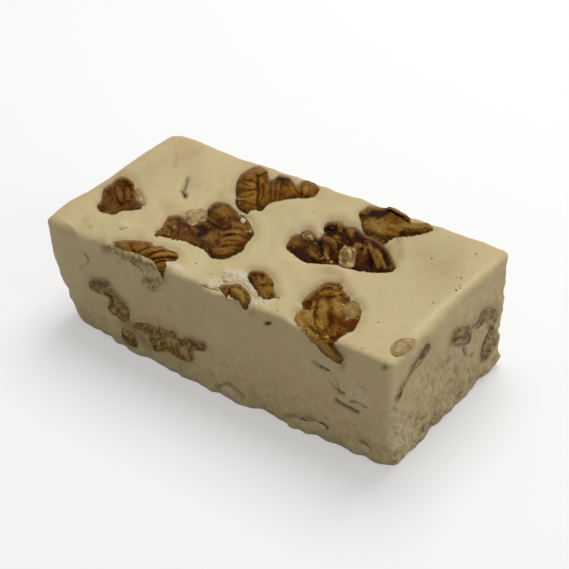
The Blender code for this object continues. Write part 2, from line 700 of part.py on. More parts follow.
bar = make_bar(parts)
bar.data.materials.append(fudge_cream)
top_pieces = [
    nut_left(parts),
    nut_middle(parts),
    nut_back(parts),
    nut_cluster(parts),
    nut_back_right(parts),
    nut_front_left(parts),
    nut_bit_right(parts),
    nut_bit_edge(parts),
    nut_front_right(parts),
]
wall_pieces = [
    nut_front_hook(parts),
    nut_front_low(parts),
    nut_front_band(parts),
    nut_front_base(parts),
    nut_end_middle(parts),
    nut_end_high(parts),
    nut_end_edge(parts),
    nut_end_skin(parts),
]
for piece in top_pieces:
    piece.data.materials.append(walnut_brown)
for piece in wall_pieces:
    piece.data.materials.append(walnut_veiled)
cut_pockets(bar, make_pocket_cutter(top_pieces + wall_pieces, cutters))
bar_middle = set_on_origin(parts.objects, bar)
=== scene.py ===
"""Walnut fudge: a bar of pale fudge with broken walnuts stirred in, as it sits on a pale table.

The scene is in metres in the row frame.  The bar's own form is written in millimetres from its own
middle, before that was set over the origin.  What lies on the bar is written as it is seen from the
camera, in millimetres right of and above the middle of the view, at the distance of its middle.
"""
import math

import bmesh
import bpy
import numpy as np
from mathutils import Matrix, Vector, noise
from mathutils.bvhtree import BVHTree


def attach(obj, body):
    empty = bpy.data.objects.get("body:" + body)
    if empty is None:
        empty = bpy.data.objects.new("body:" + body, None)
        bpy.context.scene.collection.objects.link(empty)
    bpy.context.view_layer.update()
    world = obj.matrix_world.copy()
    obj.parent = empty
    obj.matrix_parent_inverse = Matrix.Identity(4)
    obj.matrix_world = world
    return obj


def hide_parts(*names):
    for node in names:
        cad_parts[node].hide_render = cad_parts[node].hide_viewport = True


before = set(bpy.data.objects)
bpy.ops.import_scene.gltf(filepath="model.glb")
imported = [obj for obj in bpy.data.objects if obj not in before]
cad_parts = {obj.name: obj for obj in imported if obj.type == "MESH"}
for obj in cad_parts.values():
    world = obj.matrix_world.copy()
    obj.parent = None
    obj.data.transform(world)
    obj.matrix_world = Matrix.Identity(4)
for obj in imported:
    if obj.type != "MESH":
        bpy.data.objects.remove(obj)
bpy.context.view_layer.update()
MM = 0.001


# ---- Camera ------------------------------------------------------------------
# The bar is seen from above its near right corner, turned a little, with the long front running
# away to the left.  The numbers come from fitting the bar's corners and outline.
FRAME_PIXELS = 569
FOCAL_PIXELS = 1344.0
SENSOR_WIDTH = 36.0
CAMERA_TURN = 41.78
CAMERA_RISE = 36.92
CAMERA_ROLL = -6.12
CAMERA_DISTANCE = 0.35618
CAMERA_AIM = Vector((0.003132, 0.002324, 0.017435))

turn, rise, roll = (math.radians(angle) for angle in (CAMERA_TURN, CAMERA_RISE, CAMERA_ROLL))
backward = Vector((
    math.sin(turn) * math.cos(rise), -math.cos(turn) * math.cos(rise), math.sin(rise)
))
level_right = (-backward).cross(Vector((0.0, 0.0, 1.0))).normalized()
level_up = level_right.cross(-backward)
right = math.cos(roll) * level_right + math.sin(roll) * level_up
up = math.cos(roll) * level_up - math.sin(roll) * level_right
lens = bpy.data.cameras.new("camera")
lens.sensor_width = SENSOR_WIDTH
lens.lens = SENSOR_WIDTH * FOCAL_PIXELS / FRAME_PIXELS
lens.clip_start = 0.01
camera = bpy.data.objects.new("camera", lens)
camera.matrix_world = Matrix((right, up, backward)).transposed().to_4x4()
camera.location = CAMERA_AIM + backward * CAMERA_DISTANCE
bpy.context.scene.collection.objects.link(camera)
bpy.context.scene.camera = camera


# ---- Table and light ---------------------------------------------------------
# A plain white table top under one broad soft light above and behind the bar, a weaker one at
# its right, and a pale room all round.
def add_node(tree, kind, inputs=None, **settings):
    """Add a node, set its properties, and set its inputs or wire them to outputs."""
    node = tree.nodes.new(kind)
    for name, value in settings.items():
        setattr(node, name, value)
    for name, value in (inputs or {}).items():
        if isinstance(value, bpy.types.NodeSocket):
            tree.links.new(value, node.inputs[name])
        else:
            node.inputs[name].default_value = value
    return node


def shade(red, green, blue):
    """A colour as a painter gives it, from 0 to 255, in the linear values that Blender wants."""
    parts = [part / 255.0 for part in (red, green, blue)]
    linear = [part / 12.92 if part < 0.04045 else ((part + 0.055) / 1.055) ** 2.4 for part in parts]
    return (*linear, 1.0)


def new_material(name):
    """An empty material with its output; the shader's wiring follows in the caller."""
    made = bpy.data.materials.new(name)
    made.use_nodes = True
    tree = made.node_tree
    tree.nodes.clear()
    return made, tree, tree.nodes.new("ShaderNodeOutputMaterial").inputs["Surface"]


def add_light(name, place, aim, size, watts):
    """A square soft light that faces a point."""
    light = bpy.data.lights.new(name, "AREA")
    light.size = size
    light.energy = watts
    lamp = bpy.data.objects.new(name, light)
    lamp.location = place
    lamp.rotation_euler = (Vector(place) - Vector(aim)).to_track_quat("Z", "Y").to_euler()
    bpy.context.scene.collection.objects.link(lamp)


TABLE_SIZE = 6.0
TABLE_SHADE = 0.62
TABLE_LIFT = 0.34
ROOM_LIGHT = 0.38
ROOM_SEEN = 0.97

table_finish, tree, surface = new_material("table_white")
paint = add_node(tree, "ShaderNodeBsdfDiffuse", {
    "Color": (TABLE_SHADE, TABLE_SHADE, TABLE_SHADE, 1.0),
})
seen = add_node(tree, "ShaderNodeLightPath").outputs["Is Camera Ray"]
lift = add_node(tree, "ShaderNodeMath", {0: seen, 1: TABLE_LIFT}, operation="MULTIPLY").outputs[0]
glow = add_node(tree, "ShaderNodeEmission", {"Color": (1.0, 1.0, 1.0, 1.0), "Strength": lift})
both = add_node(tree, "ShaderNodeAddShader", {0: paint.outputs[0], 1: glow.outputs[0]})
tree.links.new(both.outputs[0], surface)

flat = bmesh.new()
bmesh.ops.create_grid(flat, x_segments=2, y_segments=2, size=TABLE_SIZE / 2)
table_mesh = bpy.data.meshes.new("table")
flat.to_mesh(table_mesh)
flat.free()
table_mesh.materials.append(table_finish)
table = bpy.data.objects.new("table", table_mesh)
bpy.context.scene.collection.objects.link(table)

room = bpy.data.worlds.new("room")
room.use_nodes = True
tree = room.node_tree
tree.nodes.clear()
seen = add_node(tree, "ShaderNodeLightPath").outputs["Is Camera Ray"]
level = add_node(tree, "ShaderNodeMapRange", {
    "Value": seen, "To Min": ROOM_LIGHT, "To Max": ROOM_SEEN,
})
sky = add_node(tree, "ShaderNodeBackground", {
    "Color": (1.0, 1.0, 1.0, 1.0), "Strength": level.outputs[0],
})
add_node(tree, "ShaderNodeOutputWorld", {"Surface": sky.outputs[0]})
bpy.context.scene.world = room
add_light("softbox_above", (-0.05, 0.35, 0.75), (0.0, 0.0, 0.02), 0.55, 4.6)
add_light("softbox_right", (0.75, 0.10, 0.40), (0.0, 0.0, 0.02), 0.40, 0.95)
bpy.context.scene.view_settings.view_transform = "Standard"


# ---- The form of the bar -----------------------------------------------------
# Fudge is poured into a lined tin, left to set and cut into bars.  The top is soft and uneven,
# the cut walls bulge towards the foot, and the corners are a little rounded.
LENGTH = 110.0
WIDTH = 51.5
HEIGHT = 34.9
BASE_INSET = 2.1
EDGE_ROUND = 1.7
FOOT_ROUND = 0.4
LEFT_FOOT_ROUND = 1.6
LEFT_BACK_ROUND = 1.0
LEFT_FRONT_ROUND = 1.6
BAR_MIDDLE = np.array((-2.362, 0.316, 0.0))
# Soft dips and swells of the top: x, y, reach, height.
TOP_SWELLS = (
    (-16.0, -4.0, 9.5, -1.0),
    (20.0, 6.0, 9.0, -1.1),
    (31.0, -15.5, 7.0, -0.9),
    (9.5, -17.0, 5.0, -0.7),
    (-46.5, -7.0, 6.5, -0.6),
    (-14.0, 14.0, 7.5, -0.7),
    (24.0, 18.5, 6.0, -0.6),
    (-16.0, -18.0, 4.0, 0.7),
    (18.0, -8.5, 5.0, 0.6),
    (-34.0, 6.0, 2.2, -0.7),
    (2.0, 12.0, 6.0, 0.5),
    (45.0, 8.0, 9.0, 0.4),
    (-33.0, 24.0, 6.0, -1.1),
    (-52.0, 20.0, 9.0, 0.7),
    (-36.0, -14.0, 5.0, 0.4),
    (4.0, -23.5, 4.0, -0.6),
)

# Bulges and dents of the front: x, z, reach along x, reach along z, outward.
FRONT_SWELLS = (
    (-34.0, 0.0, 8.0, 6.0, 2.0),
    (-10.0, 0.0, 9.0, 6.5, 2.6),
    (7.0, 0.0, 6.0, 5.5, 2.2),
    (25.0, 0.0, 5.5, 5.5, 1.9),
    (40.0, 0.0, 7.0, 5.0, 1.1),
    (46.0, 19.5, 3.6, 3.2, 0.8),
    (-46.5, 24.5, 3.0, 2.4, 0.5),
    (-38.0, 13.0, 7.0, 7.0, 0.5),
    (20.0, 31.0, 2.6, 2.0, -0.4),
    (38.0, 16.5, 5.0, 1.6, -0.5),
    (4.0, 17.0, 14.0, 9.0, -0.4),
)

# Bulges and dents of the right end: y, z, reach along y, reach along z, outward.
END_SWELLS = (
    (0.0, 17.0, 60.0, 60.0, 0.6),
    (18.0, 1.0, 7.0, 4.0, 0.4),
    (-22.0, 1.0, 8.0, 5.0, -0.6),
    (19.5, 10.0, 4.0, 5.0, 0.6),
    (-16.0, 25.0, 5.0, 2.0, -0.5),
    (5.0, 21.0, 4.0, 4.0, 0.3),
)

# Bulges and dents of the left end: y, z, reach along y, reach along z, outward.
LEFT_SWELLS = (
    (0.0, 17.0, 60.0, 60.0, 2.2),
    (-16.0, 33.0, 7.0, 4.5, 1.6),
    (-22.0, 16.0, 14.0, 12.0, 4.2),
    (12.0, 34.0, 14.0, 8.0, 1.5),
)

# Bulges and dents of the back: x, z, reach along x, reach along z, outward.
BACK_SWELLS = (
    (0.0, 17.0, 90.0, 90.0, 0.7),
    (-58.0, 34.0, 14.0, 12.0, 1.2),
    (54.0, 12.0, 3.0, 2.0, -1.3),
    (54.0, 28.0, 3.0, 2.5, -0.6),
    (54.0, 3.5, 3.0, 1.6, -1.3),
    (-20.0, 8.0, 12.0, 7.0, 1.0),
    (20.0, 4.0, 12.0, 6.0, 1.2),
)


def bell(distance, reach):
    """One at no distance, falling smoothly away to nothing."""
    return np.exp(-0.5 * (distance / reach) ** 2)


def wall_swell(swells, along, height):
    """How far a wall stands out at a place, from its bulges and dents."""
    total = 0.0
    for place, level, reach_along, reach_up, outward in swells:
        total = total + outward * bell(along - place, reach_along) * bell(height - level, reach_up)
    return total


def top_swell(x, y):
    """How high the top stands above its level at a place."""
    total = 0.0
    for centre_x, centre_y, reach, height in TOP_SWELLS:
        total = total + height * bell(np.hypot(x - centre_x, y - centre_y), reach)
    return total


def lumps(places, size, seed):
    """Smooth unevenness from -1 to 1 with bumps of about a given size."""
    shifted = places / size + np.array((seed, seed * 2.7, seed * 0.9))
    return np.array([noise.noise(place) for place in shifted.tolist()])


def corner_round(x, y, z):
    """The radius of the bar's edges: tight along the top, softer at the left end and the foot."""
    left = bell(x + LENGTH / 2, 9.0)
    foot = bell(z, 11.0)
    front = 1.0 / (1.0 + np.exp((y + 6.0) / 4.0))
    top = bell(HEIGHT - z, 8.0)
    return (
        EDGE_ROUND + LEFT_FOOT_ROUND * left * foot + LEFT_BACK_ROUND * left * (1.0 - front)
        + LEFT_FRONT_ROUND * left * front * top + FOOT_ROUND * foot
    )


def on_bar(places):
    """Move points of a plain box to the soft bar; also the way that each one faces."""
    x, y, z = places.T
    radius = corner_round(x, y, z)
    inner = np.stack((
        np.clip(x, radius - LENGTH / 2, LENGTH / 2 - radius),
        np.clip(y, radius - WIDTH / 2, WIDTH / 2 - radius),
        np.minimum(z, HEIGHT - radius),
    ), 1)
    outward = places - inner
    reach = np.linalg.norm(outward, axis=1)
    outward /= np.maximum(reach, 1e-6)[:, None]
    spots = inner + outward * radius[:, None]
    inset = BASE_INSET * (1.0 - z / HEIGHT)
    spots[:, 0] *= 1.0 - inset / (LENGTH / 2)
    spots[:, 1] *= 1.0 - inset / (WIDTH / 2)
    low = 1.0 / (1.0 + np.exp((z - 9.0) / 3.0))
    rough = 0.3 * lumps(spots, 6.5, 3.0) + (0.15 + 0.9 * low) * lumps(spots, 3.6, 8.0)
    along_x, along_y = outward[:, 0], outward[:, 1]
    spots[:, 1] -= np.maximum(0.0, -along_y) * (wall_swell(FRONT_SWELLS, x, z) + rough)
    spots[:, 1] += np.maximum(0.0, along_y) * (wall_swell(BACK_SWELLS, x, z) + rough)
    spots[:, 0] += np.maximum(0.0, along_x) * (wall_swell(END_SWELLS, y, z) + rough)
    spots[:, 0] -= np.maximum(0.0, -along_x) * (wall_swell(LEFT_SWELLS, y, z) + rough)
    upward = np.maximum(0.0, outward[:, 2])
    spots[:, 2] += upward * (top_swell(x, y) + 0.35 * lumps(spots, 13.0, 5.0))
    return spots, outward


def on_top(x, y):
    """Points of the bar's top at given places."""
    flat = np.stack((x, y, np.full_like(x, HEIGHT)), 1)
    return np.stack((x, y, on_bar(flat)[0][:, 2]), 1)


# ---- Meshes and their numbers ------------------------------------------------
# Places are read and written in the millimetres of the bar's form.  A field, such as how brown the
# fudge is, is one number kept at each vertex, and the materials read it by its name.
def read_places(mesh):
    """The vertices of a mesh, in the millimetres of the bar's form."""
    flat = np.empty(len(mesh.vertices) * 3, np.float32)
    mesh.vertices.foreach_get("co", flat)
    return flat.reshape(-1, 3).astype(float) / MM + BAR_MIDDLE


def write_places(mesh, places):
    """Put the vertices of a mesh at places in the same millimetres."""
    mesh.vertices.foreach_set("co", ((places - BAR_MIDDLE) * MM).astype(np.float32).ravel())
    mesh.update()


def write_field(mesh, name, values):
    """Keep one number at each vertex, for the materials."""
    field = mesh.attributes.new(name, "FLOAT", "POINT")
    field.data.foreach_set("value", np.asarray(values, np.float32))


def settle(thing):
    """Turn an object's modifiers into its mesh."""
    bpy.context.view_layer.update()
    graph = bpy.context.evaluated_depsgraph_get()
    mesh = bpy.data.meshes.new_from_object(thing.evaluated_get(graph))
    thing.modifiers.clear()
    old = thing.data
    thing.data = mesh
    bpy.data.meshes.remove(old)


def add_object(name, mesh):
    """An object for a mesh, linked to the scene."""
    made = bpy.data.objects.new(name, mesh)
    bpy.context.scene.collection.objects.link(made)
    return made


def form_of(thing):
    """The form of an object, for a shell to rise to or to lie on."""
    return BVHTree.FromObject(thing, bpy.context.evaluated_depsgraph_get())


# ---- The plain bar -----------------------------------------------------------
# A fine net over a box is moved to the soft form of the poured and cut bar.  The walnuts are laid
# on this plain bar, and its surface is finished afterwards, when they are known.
NET_CELL = 0.43


def add_socket(tree, label, kind, way="INPUT"):
    """A named socket on the outside of a group."""
    return tree.interface.new_socket(label, in_out=way, socket_type="NodeSocket" + kind)


def net_of_box(length, width, height, cell):
    """A box whose six sides are fine nets, by Geometry Nodes."""
    tree = bpy.data.node_groups.new("net_of_box", "GeometryNodeTree")
    sockets = {}
    for label, kind in (("Size", "Vector"), ("Along", "Int"), ("Across", "Int"), ("Up", "Int")):
        sockets[label] = add_socket(tree, label, kind)
    add_socket(tree, "Net", "Geometry", "OUTPUT")
    given = add_node(tree, "NodeGroupInput").outputs
    box = add_node(tree, "GeometryNodeMeshCube", {
        "Size": given["Size"], "Vertices X": given["Along"],
        "Vertices Y": given["Across"], "Vertices Z": given["Up"],
    })
    out = tree.nodes.new("NodeGroupOutput")
    tree.links.new(box.outputs["Mesh"], out.inputs["Net"])
    host = add_object("fudge_bar", bpy.data.meshes.new("fudge_bar"))
    maker = host.modifiers.new("net", "NODES")
    maker.node_group = tree
    maker[sockets["Size"].identifier] = (length * MM, width * MM, height * MM)
    for label, side in (("Along", length), ("Across", width), ("Up", height)):
        maker[sockets[label].identifier] = round(side / cell) + 1
    settle(host)
    return host


fudge_bar = net_of_box(LENGTH, WIDTH, HEIGHT, NET_CELL)
flat = read_places(fudge_bar.data) - BAR_MIDDLE + np.array((0.0, 0.0, HEIGHT / 2))
body, facing = on_bar(flat)
write_places(fudge_bar.data, body)
bar_tree = form_of(fudge_bar)


# ---- How the pieces are laid on the bar --------------------------------------
# The walnuts are seen from one side only, so each is a carved shell: an outline as it is seen from
# the camera, with a surface inside it that rises from the bar.  Places on it are written as they
# are seen, in millimetres right of and above the middle of the view, at the middle of the bar.
# In millimetres: the net of a shell, the steps and the wobble of its edge and of its marks, its
# rounded border and its border sunk in fudge, its skirt, and the least that it stands out.
SHELL_CELL = 0.25
EDGE_STEP = 0.2
EDGE_WOBBLE = 0.12
MARK_STEP = 0.5
MARK_WOBBLE = 0.16
ROUND_EDGE = 1.3
SUNK_EDGE = 0.9
SKIRT_DEPTH = 2.0
SKIRT_MARGIN = 2.0
LEAST_LIFT = 0.05
FILM_SINK = 0.04
# In cells of the shell: its margin, how near a point is snapped to the edge, and how far the form
# of a part is carried on past its end.
MARGIN_CELLS = 12
SNAP_CELLS = 0.55
FILL_CELLS = 8.0
# Slopes and shares, which have no unit.
EDGE_SLOPE = 1.1
EDGE_DROP = 0.7
FILM_SLOPE = 0.5
SKIRT_TURN = 0.65
SKIRT_PER_LIFT = 1.5
MARK_REACH = 2.6
SUNK_MOST = 0.75
# Painted shade and light from the carved relief: creases are darkened and ridges lightened.  Each:
# its size in cells, its full depth in millimetres and the tone.
PAINTED_CREASE_SHADE = ((2.0, 0.10, 0.45), (6.0, 0.40, 0.30))
VIEW_AXES = np.array((right, up, backward))
VIEW_DISTANCE = CAMERA_DISTANCE / MM
seen_edges = {}


def add_lobe(mesh, place, radii, turn=0.0):
    """Add one rounded lobe to a piece; turn is about the vertical, in degrees."""
    ball = bmesh.ops.create_icosphere(mesh, subdivisions=3, radius=1.0)
    shape = Matrix.Diagonal((*radii, 1.0))
    spin = Matrix.Rotation(math.radians(turn), 4, "Z")
    move = Matrix.Translation(Vector(place)) @ spin @ shape
    bmesh.ops.transform(mesh, matrix=move, verts=ball["verts"])


def curve_through(points, step, closed=False):
    """Points spaced evenly along a smooth line through the given ones, or round a closed one."""
    path = [Vector(point) for point in points]
    if closed:
        path = path[-1:] + path + path[:2]
    else:
        path = [2 * path[0] - path[1]] + path + [2 * path[-1] - path[-2]]
    spots = []
    for a, b, c, d in zip(path, path[1:], path[2:], path[3:]):
        count = max(1, round((c - b).length / step))
        for index in range(count):
            t = index / count
            near = 2 * b + (c - a) * t
            bend = (2 * a - 5 * b + 4 * c - d) * t ** 2
            far = (3 * b - a - 3 * c + d) * t ** 3
            spots.append((near + bend + far) / 2)
    if not closed:
        spots.append(path[-2])
    return spots


def set_in_place(mesh):
    """Scale a mesh in millimetres to metres, and set it in its place."""
    bmesh.ops.translate(mesh, vec=tuple(-BAR_MIDDLE), verts=mesh.verts)
    bmesh.ops.scale(mesh, vec=(MM, MM, MM), verts=mesh.verts)


def distance_to(tree, spots):
    """How far off a shape is at each place in the view, or nan where it isn't in the view."""
    far = np.full(len(spots), np.nan)
    ways = (spots @ VIEW_AXES[:2] / VIEW_DISTANCE - VIEW_AXES[2]).tolist()
    for index, way in enumerate(ways):
        hit = tree.ray_cast(camera.location, Vector(way))[0]
        if hit is not None:
            far[index] = (camera.location - hit).dot(backward) / MM
    return far


def at_distance(spots, far):
    """Places in the bar's millimetres for places in the view at given distances."""
    eye = np.array(camera.location) / MM + BAR_MIDDLE
    return eye + far[:, None] * (spots @ VIEW_AXES[:2] / VIEW_DISTANCE - VIEW_AXES[2])


def in_view(places):
    """Where places appear in the view, in millimetres right and up."""
    offset = places - BAR_MIDDLE - np.array(camera.location) / MM
    return offset @ VIEW_AXES[:2].T * (VIEW_DISTANCE / -(offset @ VIEW_AXES[2]))[:, None]


def marbled(spots, size, seed):
    """A wavering shift for spots, so that lines drawn on them aren't ruled."""
    flat = np.hstack((spots, np.zeros((len(spots), 1))))
    return np.stack((lumps(flat, size, seed), lumps(flat, size, seed + 1.0)), 1)


def top_distance(spots):
    """How far off the level of the top is at each place in the view."""
    ways = spots @ VIEW_AXES[:2] / VIEW_DISTANCE - VIEW_AXES[2]
    return (HEIGHT - camera.location.z / MM) / ways[:, 2]


def blurred(values, reach):
    """A grid of values made smoother; reach is in cells."""
    rows, columns = (np.fft.fftfreq(size) for size in values.shape)
    fade = np.exp(-2.0 * (math.pi * reach) ** 2 * (rows[:, None] ** 2 + columns[None, :] ** 2))
    return np.fft.ifft2(np.fft.fft2(values) * fade).real


def blurred_inside(values, kept, reach):
    """The same for the kept values alone, so that they don't fade towards the others."""
    mask = 1.0 * kept
    return blurred(values * mask, reach) / np.maximum(blurred(mask, reach), 1e-3)


def gap_to_line(spots, line):
    """Distance from each spot to a line, the nearest place on it, and which stretch that is in."""
    best = np.full(len(spots), 1e9)
    nearest = np.zeros_like(spots)
    stretch = np.zeros(len(spots), int)
    for index, (start, end) in enumerate(zip(line, line[1:])):
        step = end - start
        along = np.clip((spots - start) @ step / max(step @ step, 1e-9), 0.0, 1.0)
        place = start + along[:, None] * step
        gap = np.linalg.norm(spots - place, axis=1)
        closer = gap < best
        best[closer], nearest[closer], stretch[closer] = gap[closer], place[closer], index
    return best, nearest, stretch


def inside_of(spots, line):
    """Whether each spot is inside a closed line."""
    count = np.zeros(len(spots), int)
    for (x1, y1), (x2, y2) in zip(line, line[1:]):
        between = (spots[:, 1] > y1) != (spots[:, 1] > y2)
        across = (x2 - x1) * (spots[:, 1] - y1) / ((y2 - y1) or 1e-9) + x1
        count += between & (spots[:, 0] < across)
    return count % 2 == 1


def marked(spots, marks, wobble=0.0):
    """Add up soft marks: the x, y of a spot or of a line's points, half its width, its amount."""
    total = np.zeros(len(spots))
    for *points, half_width, amount in marks:
        line = np.reshape(points, (-1, 2))
        if len(points) > 2:
            line = np.array([spot[:] for spot in curve_through(line, MARK_STEP)])
        reach = MARK_REACH * half_width
        near = ((spots > line.min(0) - reach) & (spots < line.max(0) + reach)).all(1)
        if len(points) > 2:
            gap = gap_to_line(spots[near], line)[0]
        else:
            gap = np.linalg.norm(spots[near] - line[0], axis=1)
        total[near] += amount * np.exp(-(gap / half_width) ** 2)
    return total


def laid_piece(name, outline, node=None, onto=(), height=0.0, softness=0.7, rim=0.0, folds=(),
               relief=(), roughness=(0.15, 0.05), seed=1.0, film=0.0, **fields):
    """A carved shell inside an outline, with the fields that its material reads.

    node is the part that it rises to, or None for a level height above what it lies on; rim is how
    high it stands along its near edge, and film is how wide its faded border is.  Folds are marks
    with two amounts: how far they stand out and how light they are."""
    points = np.reshape(outline, (-1, 2))
    edge = np.array([spot[:] for spot in curve_through(points, EDGE_STEP, closed=True)])
    for _ in range(4):
        edge = (np.roll(edge, 1, 0) + 2.0 * edge + np.roll(edge, -1, 0)) / 4.0
    edge += EDGE_WOBBLE * marbled(edge, 1.1, seed)
    edge = np.vstack((edge, edge[:1]))
    seen_edges[name] = edge
    steps = np.diff(edge, axis=0)
    turn_way = np.sign(np.sum(edge[:-1, 0] * edge[1:, 1] - edge[1:, 0] * edge[:-1, 1]))
    lengths = np.linalg.norm(steps, axis=1)[:, None]
    outward = turn_way * np.stack((steps[:, 1], -steps[:, 0]), 1) / lengths
    margin = MARGIN_CELLS * SHELL_CELL
    low, high = edge.min(0) - margin, edge.max(0) + margin
    across, upward = (np.arange(low[axis], high[axis], SHELL_CELL) for axis in (0, 1))
    shape = (len(upward), len(across))
    spots = np.stack(np.meshgrid(across, upward), 2).reshape(-1, 2)
    gap, nearest, stretch = gap_to_line(spots, edge)
    inside = inside_of(spots, edge)
    snapped = gap < SNAP_CELLS * SHELL_CELL
    spots[snapped] = nearest[snapped]
    gap[snapped] = 0.0
    kept = inside | snapped
    near_edge = np.clip(0.6 - 1.4 * outward[stretch, 1], 0.0, 1.0)

    ground = top_distance(spots)
    wanted = np.flatnonzero(kept)
    far = distance_to(bar_tree, spots[wanted])
    ground[wanted] = np.where(np.isnan(far), ground[wanted], far)
    for tree in onto:
        ground[wanted] = np.fmin(ground[wanted], distance_to(tree, spots[wanted]))
    lift = np.full(len(spots), float(height))
    if node is not None:
        far = distance_to(form_of(bpy.data.objects[node]), spots[wanted])
        lift[:] = np.nan
        lift[wanted] = ground[wanted] - far + height
    known = np.isfinite(lift) & kept
    lift = np.where(known, np.maximum(np.nan_to_num(lift), 0.0), 0.0)
    carried_on = blurred_inside(lift.reshape(shape), known.reshape(shape), FILL_CELLS)
    lift = np.where(known, lift, carried_on.ravel()) * kept
    whole = kept.reshape(shape)
    lift = blurred_inside(lift.reshape(shape), whole, softness / SHELL_CELL).ravel()

    flat = np.hstack((spots, np.zeros((len(spots), 1))))
    wobble = MARK_WOBBLE * marbled(spots, 1.5, seed + 51.0)
    lift += marked(spots + wobble, relief + tuple(fold[:-1] for fold in folds))
    broad, fine = roughness
    bent = flat + 0.8 * lumps(flat, 2.0, seed + 3.0)[:, None]
    lift += broad * (lumps(flat, 2.6, seed) - 1.2 * np.abs(lumps(bent, 1.7, seed + 1.0)))
    lift += fine * (lumps(flat, 0.75, seed + 2.0) - 1.6 * np.abs(lumps(bent, 0.95, seed + 5.0)))
    surface = lift.reshape(shape)
    tone = np.zeros(len(spots))
    # Painted shade in the creases of the carved surface, and painted light on its ridges.
    for reach, depth, amount in PAINTED_CREASE_SHADE:
        proud = (surface - blurred_inside(surface, whole, reach)).ravel()
        tone += amount * np.clip(proud / depth, -1.0, 1.0)
    roll = np.clip(1.0 - gap / ROUND_EDGE, 0.0, 1.0)
    dropped = lift - EDGE_DROP * ROUND_EDGE * (1.0 - np.sqrt(1.0 - roll ** 2))
    rounded = np.maximum(dropped, LEAST_LIFT)
    lipped = np.minimum(lift, rim + EDGE_SLOPE * gap)
    lift = near_edge * lipped + (1.0 - near_edge) * rounded
    if film:
        lift = np.minimum(lift, FILM_SLOPE * gap - FILM_SINK)

    places = at_distance(spots, ground - lift)
    grid = np.arange(len(spots)).reshape(shape)
    corners = np.stack((grid[:-1, :-1], grid[:-1, 1:], grid[1:, 1:], grid[1:, :-1]), 2)
    corners = corners.reshape(-1, 4)
    corners = corners[kept[corners].all(1)]
    used = np.unique(corners)
    renumber = np.full(len(spots), -1)
    renumber[used] = np.arange(len(used))
    ends = skirt_ends(places[used], lift[used], near_edge[used])
    mesh = closed_shell(places[used], renumber[corners], ends)
    data = bpy.data.meshes.new(name)
    mesh.to_mesh(data)
    mesh.free()
    piece = add_object(name, data)
    piece.data.shade_smooth()

    tone += 0.30 * lumps(flat, 2.4, seed + 4.0) + 0.22 * lumps(flat, 0.9, seed + 6.0)
    # Painted contact shadow: a thin darker line along a piece's near edge, where it meets the
    # fudge.
    tone -= near_edge * 0.15 * np.exp(-(gap / 0.25) ** 2)
    fields = {"tone": (), "red": (), "pale": (), "char": ()} | fields
    fields["tone"] += tuple((*fold[:-2], fold[-1]) for fold in folds)
    for label, marks in fields.items():
        total = marked(spots + 0.5 * wobble, marks)
        write_shell_field(piece, label, (tone + total if label == "tone" else total)[used])
    if film:
        write_shell_field(piece, "film", np.clip(1.0 - gap / film, 0.0, 1.0)[used])
    else:
        sunk = SUNK_MOST * (1.0 - near_edge) * np.clip(1.0 - gap / SUNK_EDGE, 0.0, 1.0)
        write_shell_field(piece, "sunk", sunk[used])
    return piece


def skirt_ends(places, lift, near_edge):
    """Where a shell's edge ends inside the bar: straight back, or rather down at a far edge."""
    eye = np.array(camera.location) / MM + BAR_MIDDLE
    away = places - eye
    away /= np.linalg.norm(away, axis=1)[:, None]
    down = SKIRT_TURN * (1.0 - near_edge)[:, None]
    way = away * (1.0 - down) + np.array((0.0, 0.0, -1.0)) * down
    ends = places + way * (SKIRT_DEPTH + SKIRT_PER_LIFT * np.maximum(lift, 0.0))[:, None]
    limit = np.array((LENGTH / 2 - SKIRT_MARGIN, WIDTH / 2 - SKIRT_MARGIN, HEIGHT - 1.5))
    return np.clip(ends, (-limit[0], -WIDTH / 2, 0.5), limit)


def closed_shell(places, corners, ends):
    """A carved surface with a skirt round it and a hidden bottom, closed and in its place."""
    mesh = bmesh.new()
    verts = [mesh.verts.new(place) for place in places.tolist()]
    for four in corners.tolist():
        mesh.faces.new([verts[index] for index in four])
    mesh.verts.index_update()
    rim = [edge for edge in mesh.edges if edge.is_boundary]
    below = {}
    for vert in {vert for edge in rim for vert in edge.verts}:
        below[vert] = mesh.verts.new(ends[vert.index].tolist())
    middle = mesh.verts.new(np.mean([tuple(vert.co) for vert in below.values()], axis=0).tolist())
    for edge in rim:
        edge.smooth = False
        first, second = edge.verts
        mesh.faces.new((first, second, below[second], below[first]))
        mesh.faces.new((below[first], below[second], middle))
    bmesh.ops.recalc_face_normals(mesh, faces=mesh.faces)
    set_in_place(mesh)
    return mesh


def write_shell_field(piece, name, values):
    """Keep a field at a shell's open vertices, with nothing at its hidden ones."""
    padded = np.zeros(len(piece.data.vertices))
    padded[:len(values)] = values
    write_field(piece.data, name, padded)


def keep(piece, material, slot, *nodes):
    """Give a finished piece its material, hang it under the root, and hide the parts that it stands
    for.
    """
    piece.data.materials.clear()
    piece.data.materials.append(material)
    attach(piece, "root")
    if nodes:
        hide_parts(*nodes)
    return piece


def new_group(name, inputs, outputs):
    """An empty shader group with named sockets: its tree, its inputs and its outputs."""
    group = bpy.data.node_groups.new(name, "ShaderNodeTree")
    for label, kind in inputs:
        add_socket(group, label, kind)
    for label, kind in outputs:
        add_socket(group, label, kind, "OUTPUT")
    given = group.nodes.new("NodeGroupInput").outputs
    return group, given, group.nodes.new("NodeGroupOutput").inputs


def speckle(tree, place, scale, detail=3.0, roughness=0.55):
    """Cloudy noise from 0 to 1; scale is in clouds to the metre."""
    settings = {"Vector": place, "Scale": scale, "Detail": detail, "Roughness": roughness}
    return add_node(tree, "ShaderNodeTexNoise", settings).outputs["Fac"]


def spread(tree, value, low, high, to_low=0.0, to_high=1.0):
    """Stretch a value from one range to another, held at both ends."""
    settings = {
        "Value": value, "From Min": low, "From Max": high, "To Min": to_low, "To Max": to_high,
    }
    return add_node(tree, "ShaderNodeMapRange", settings).outputs[0]


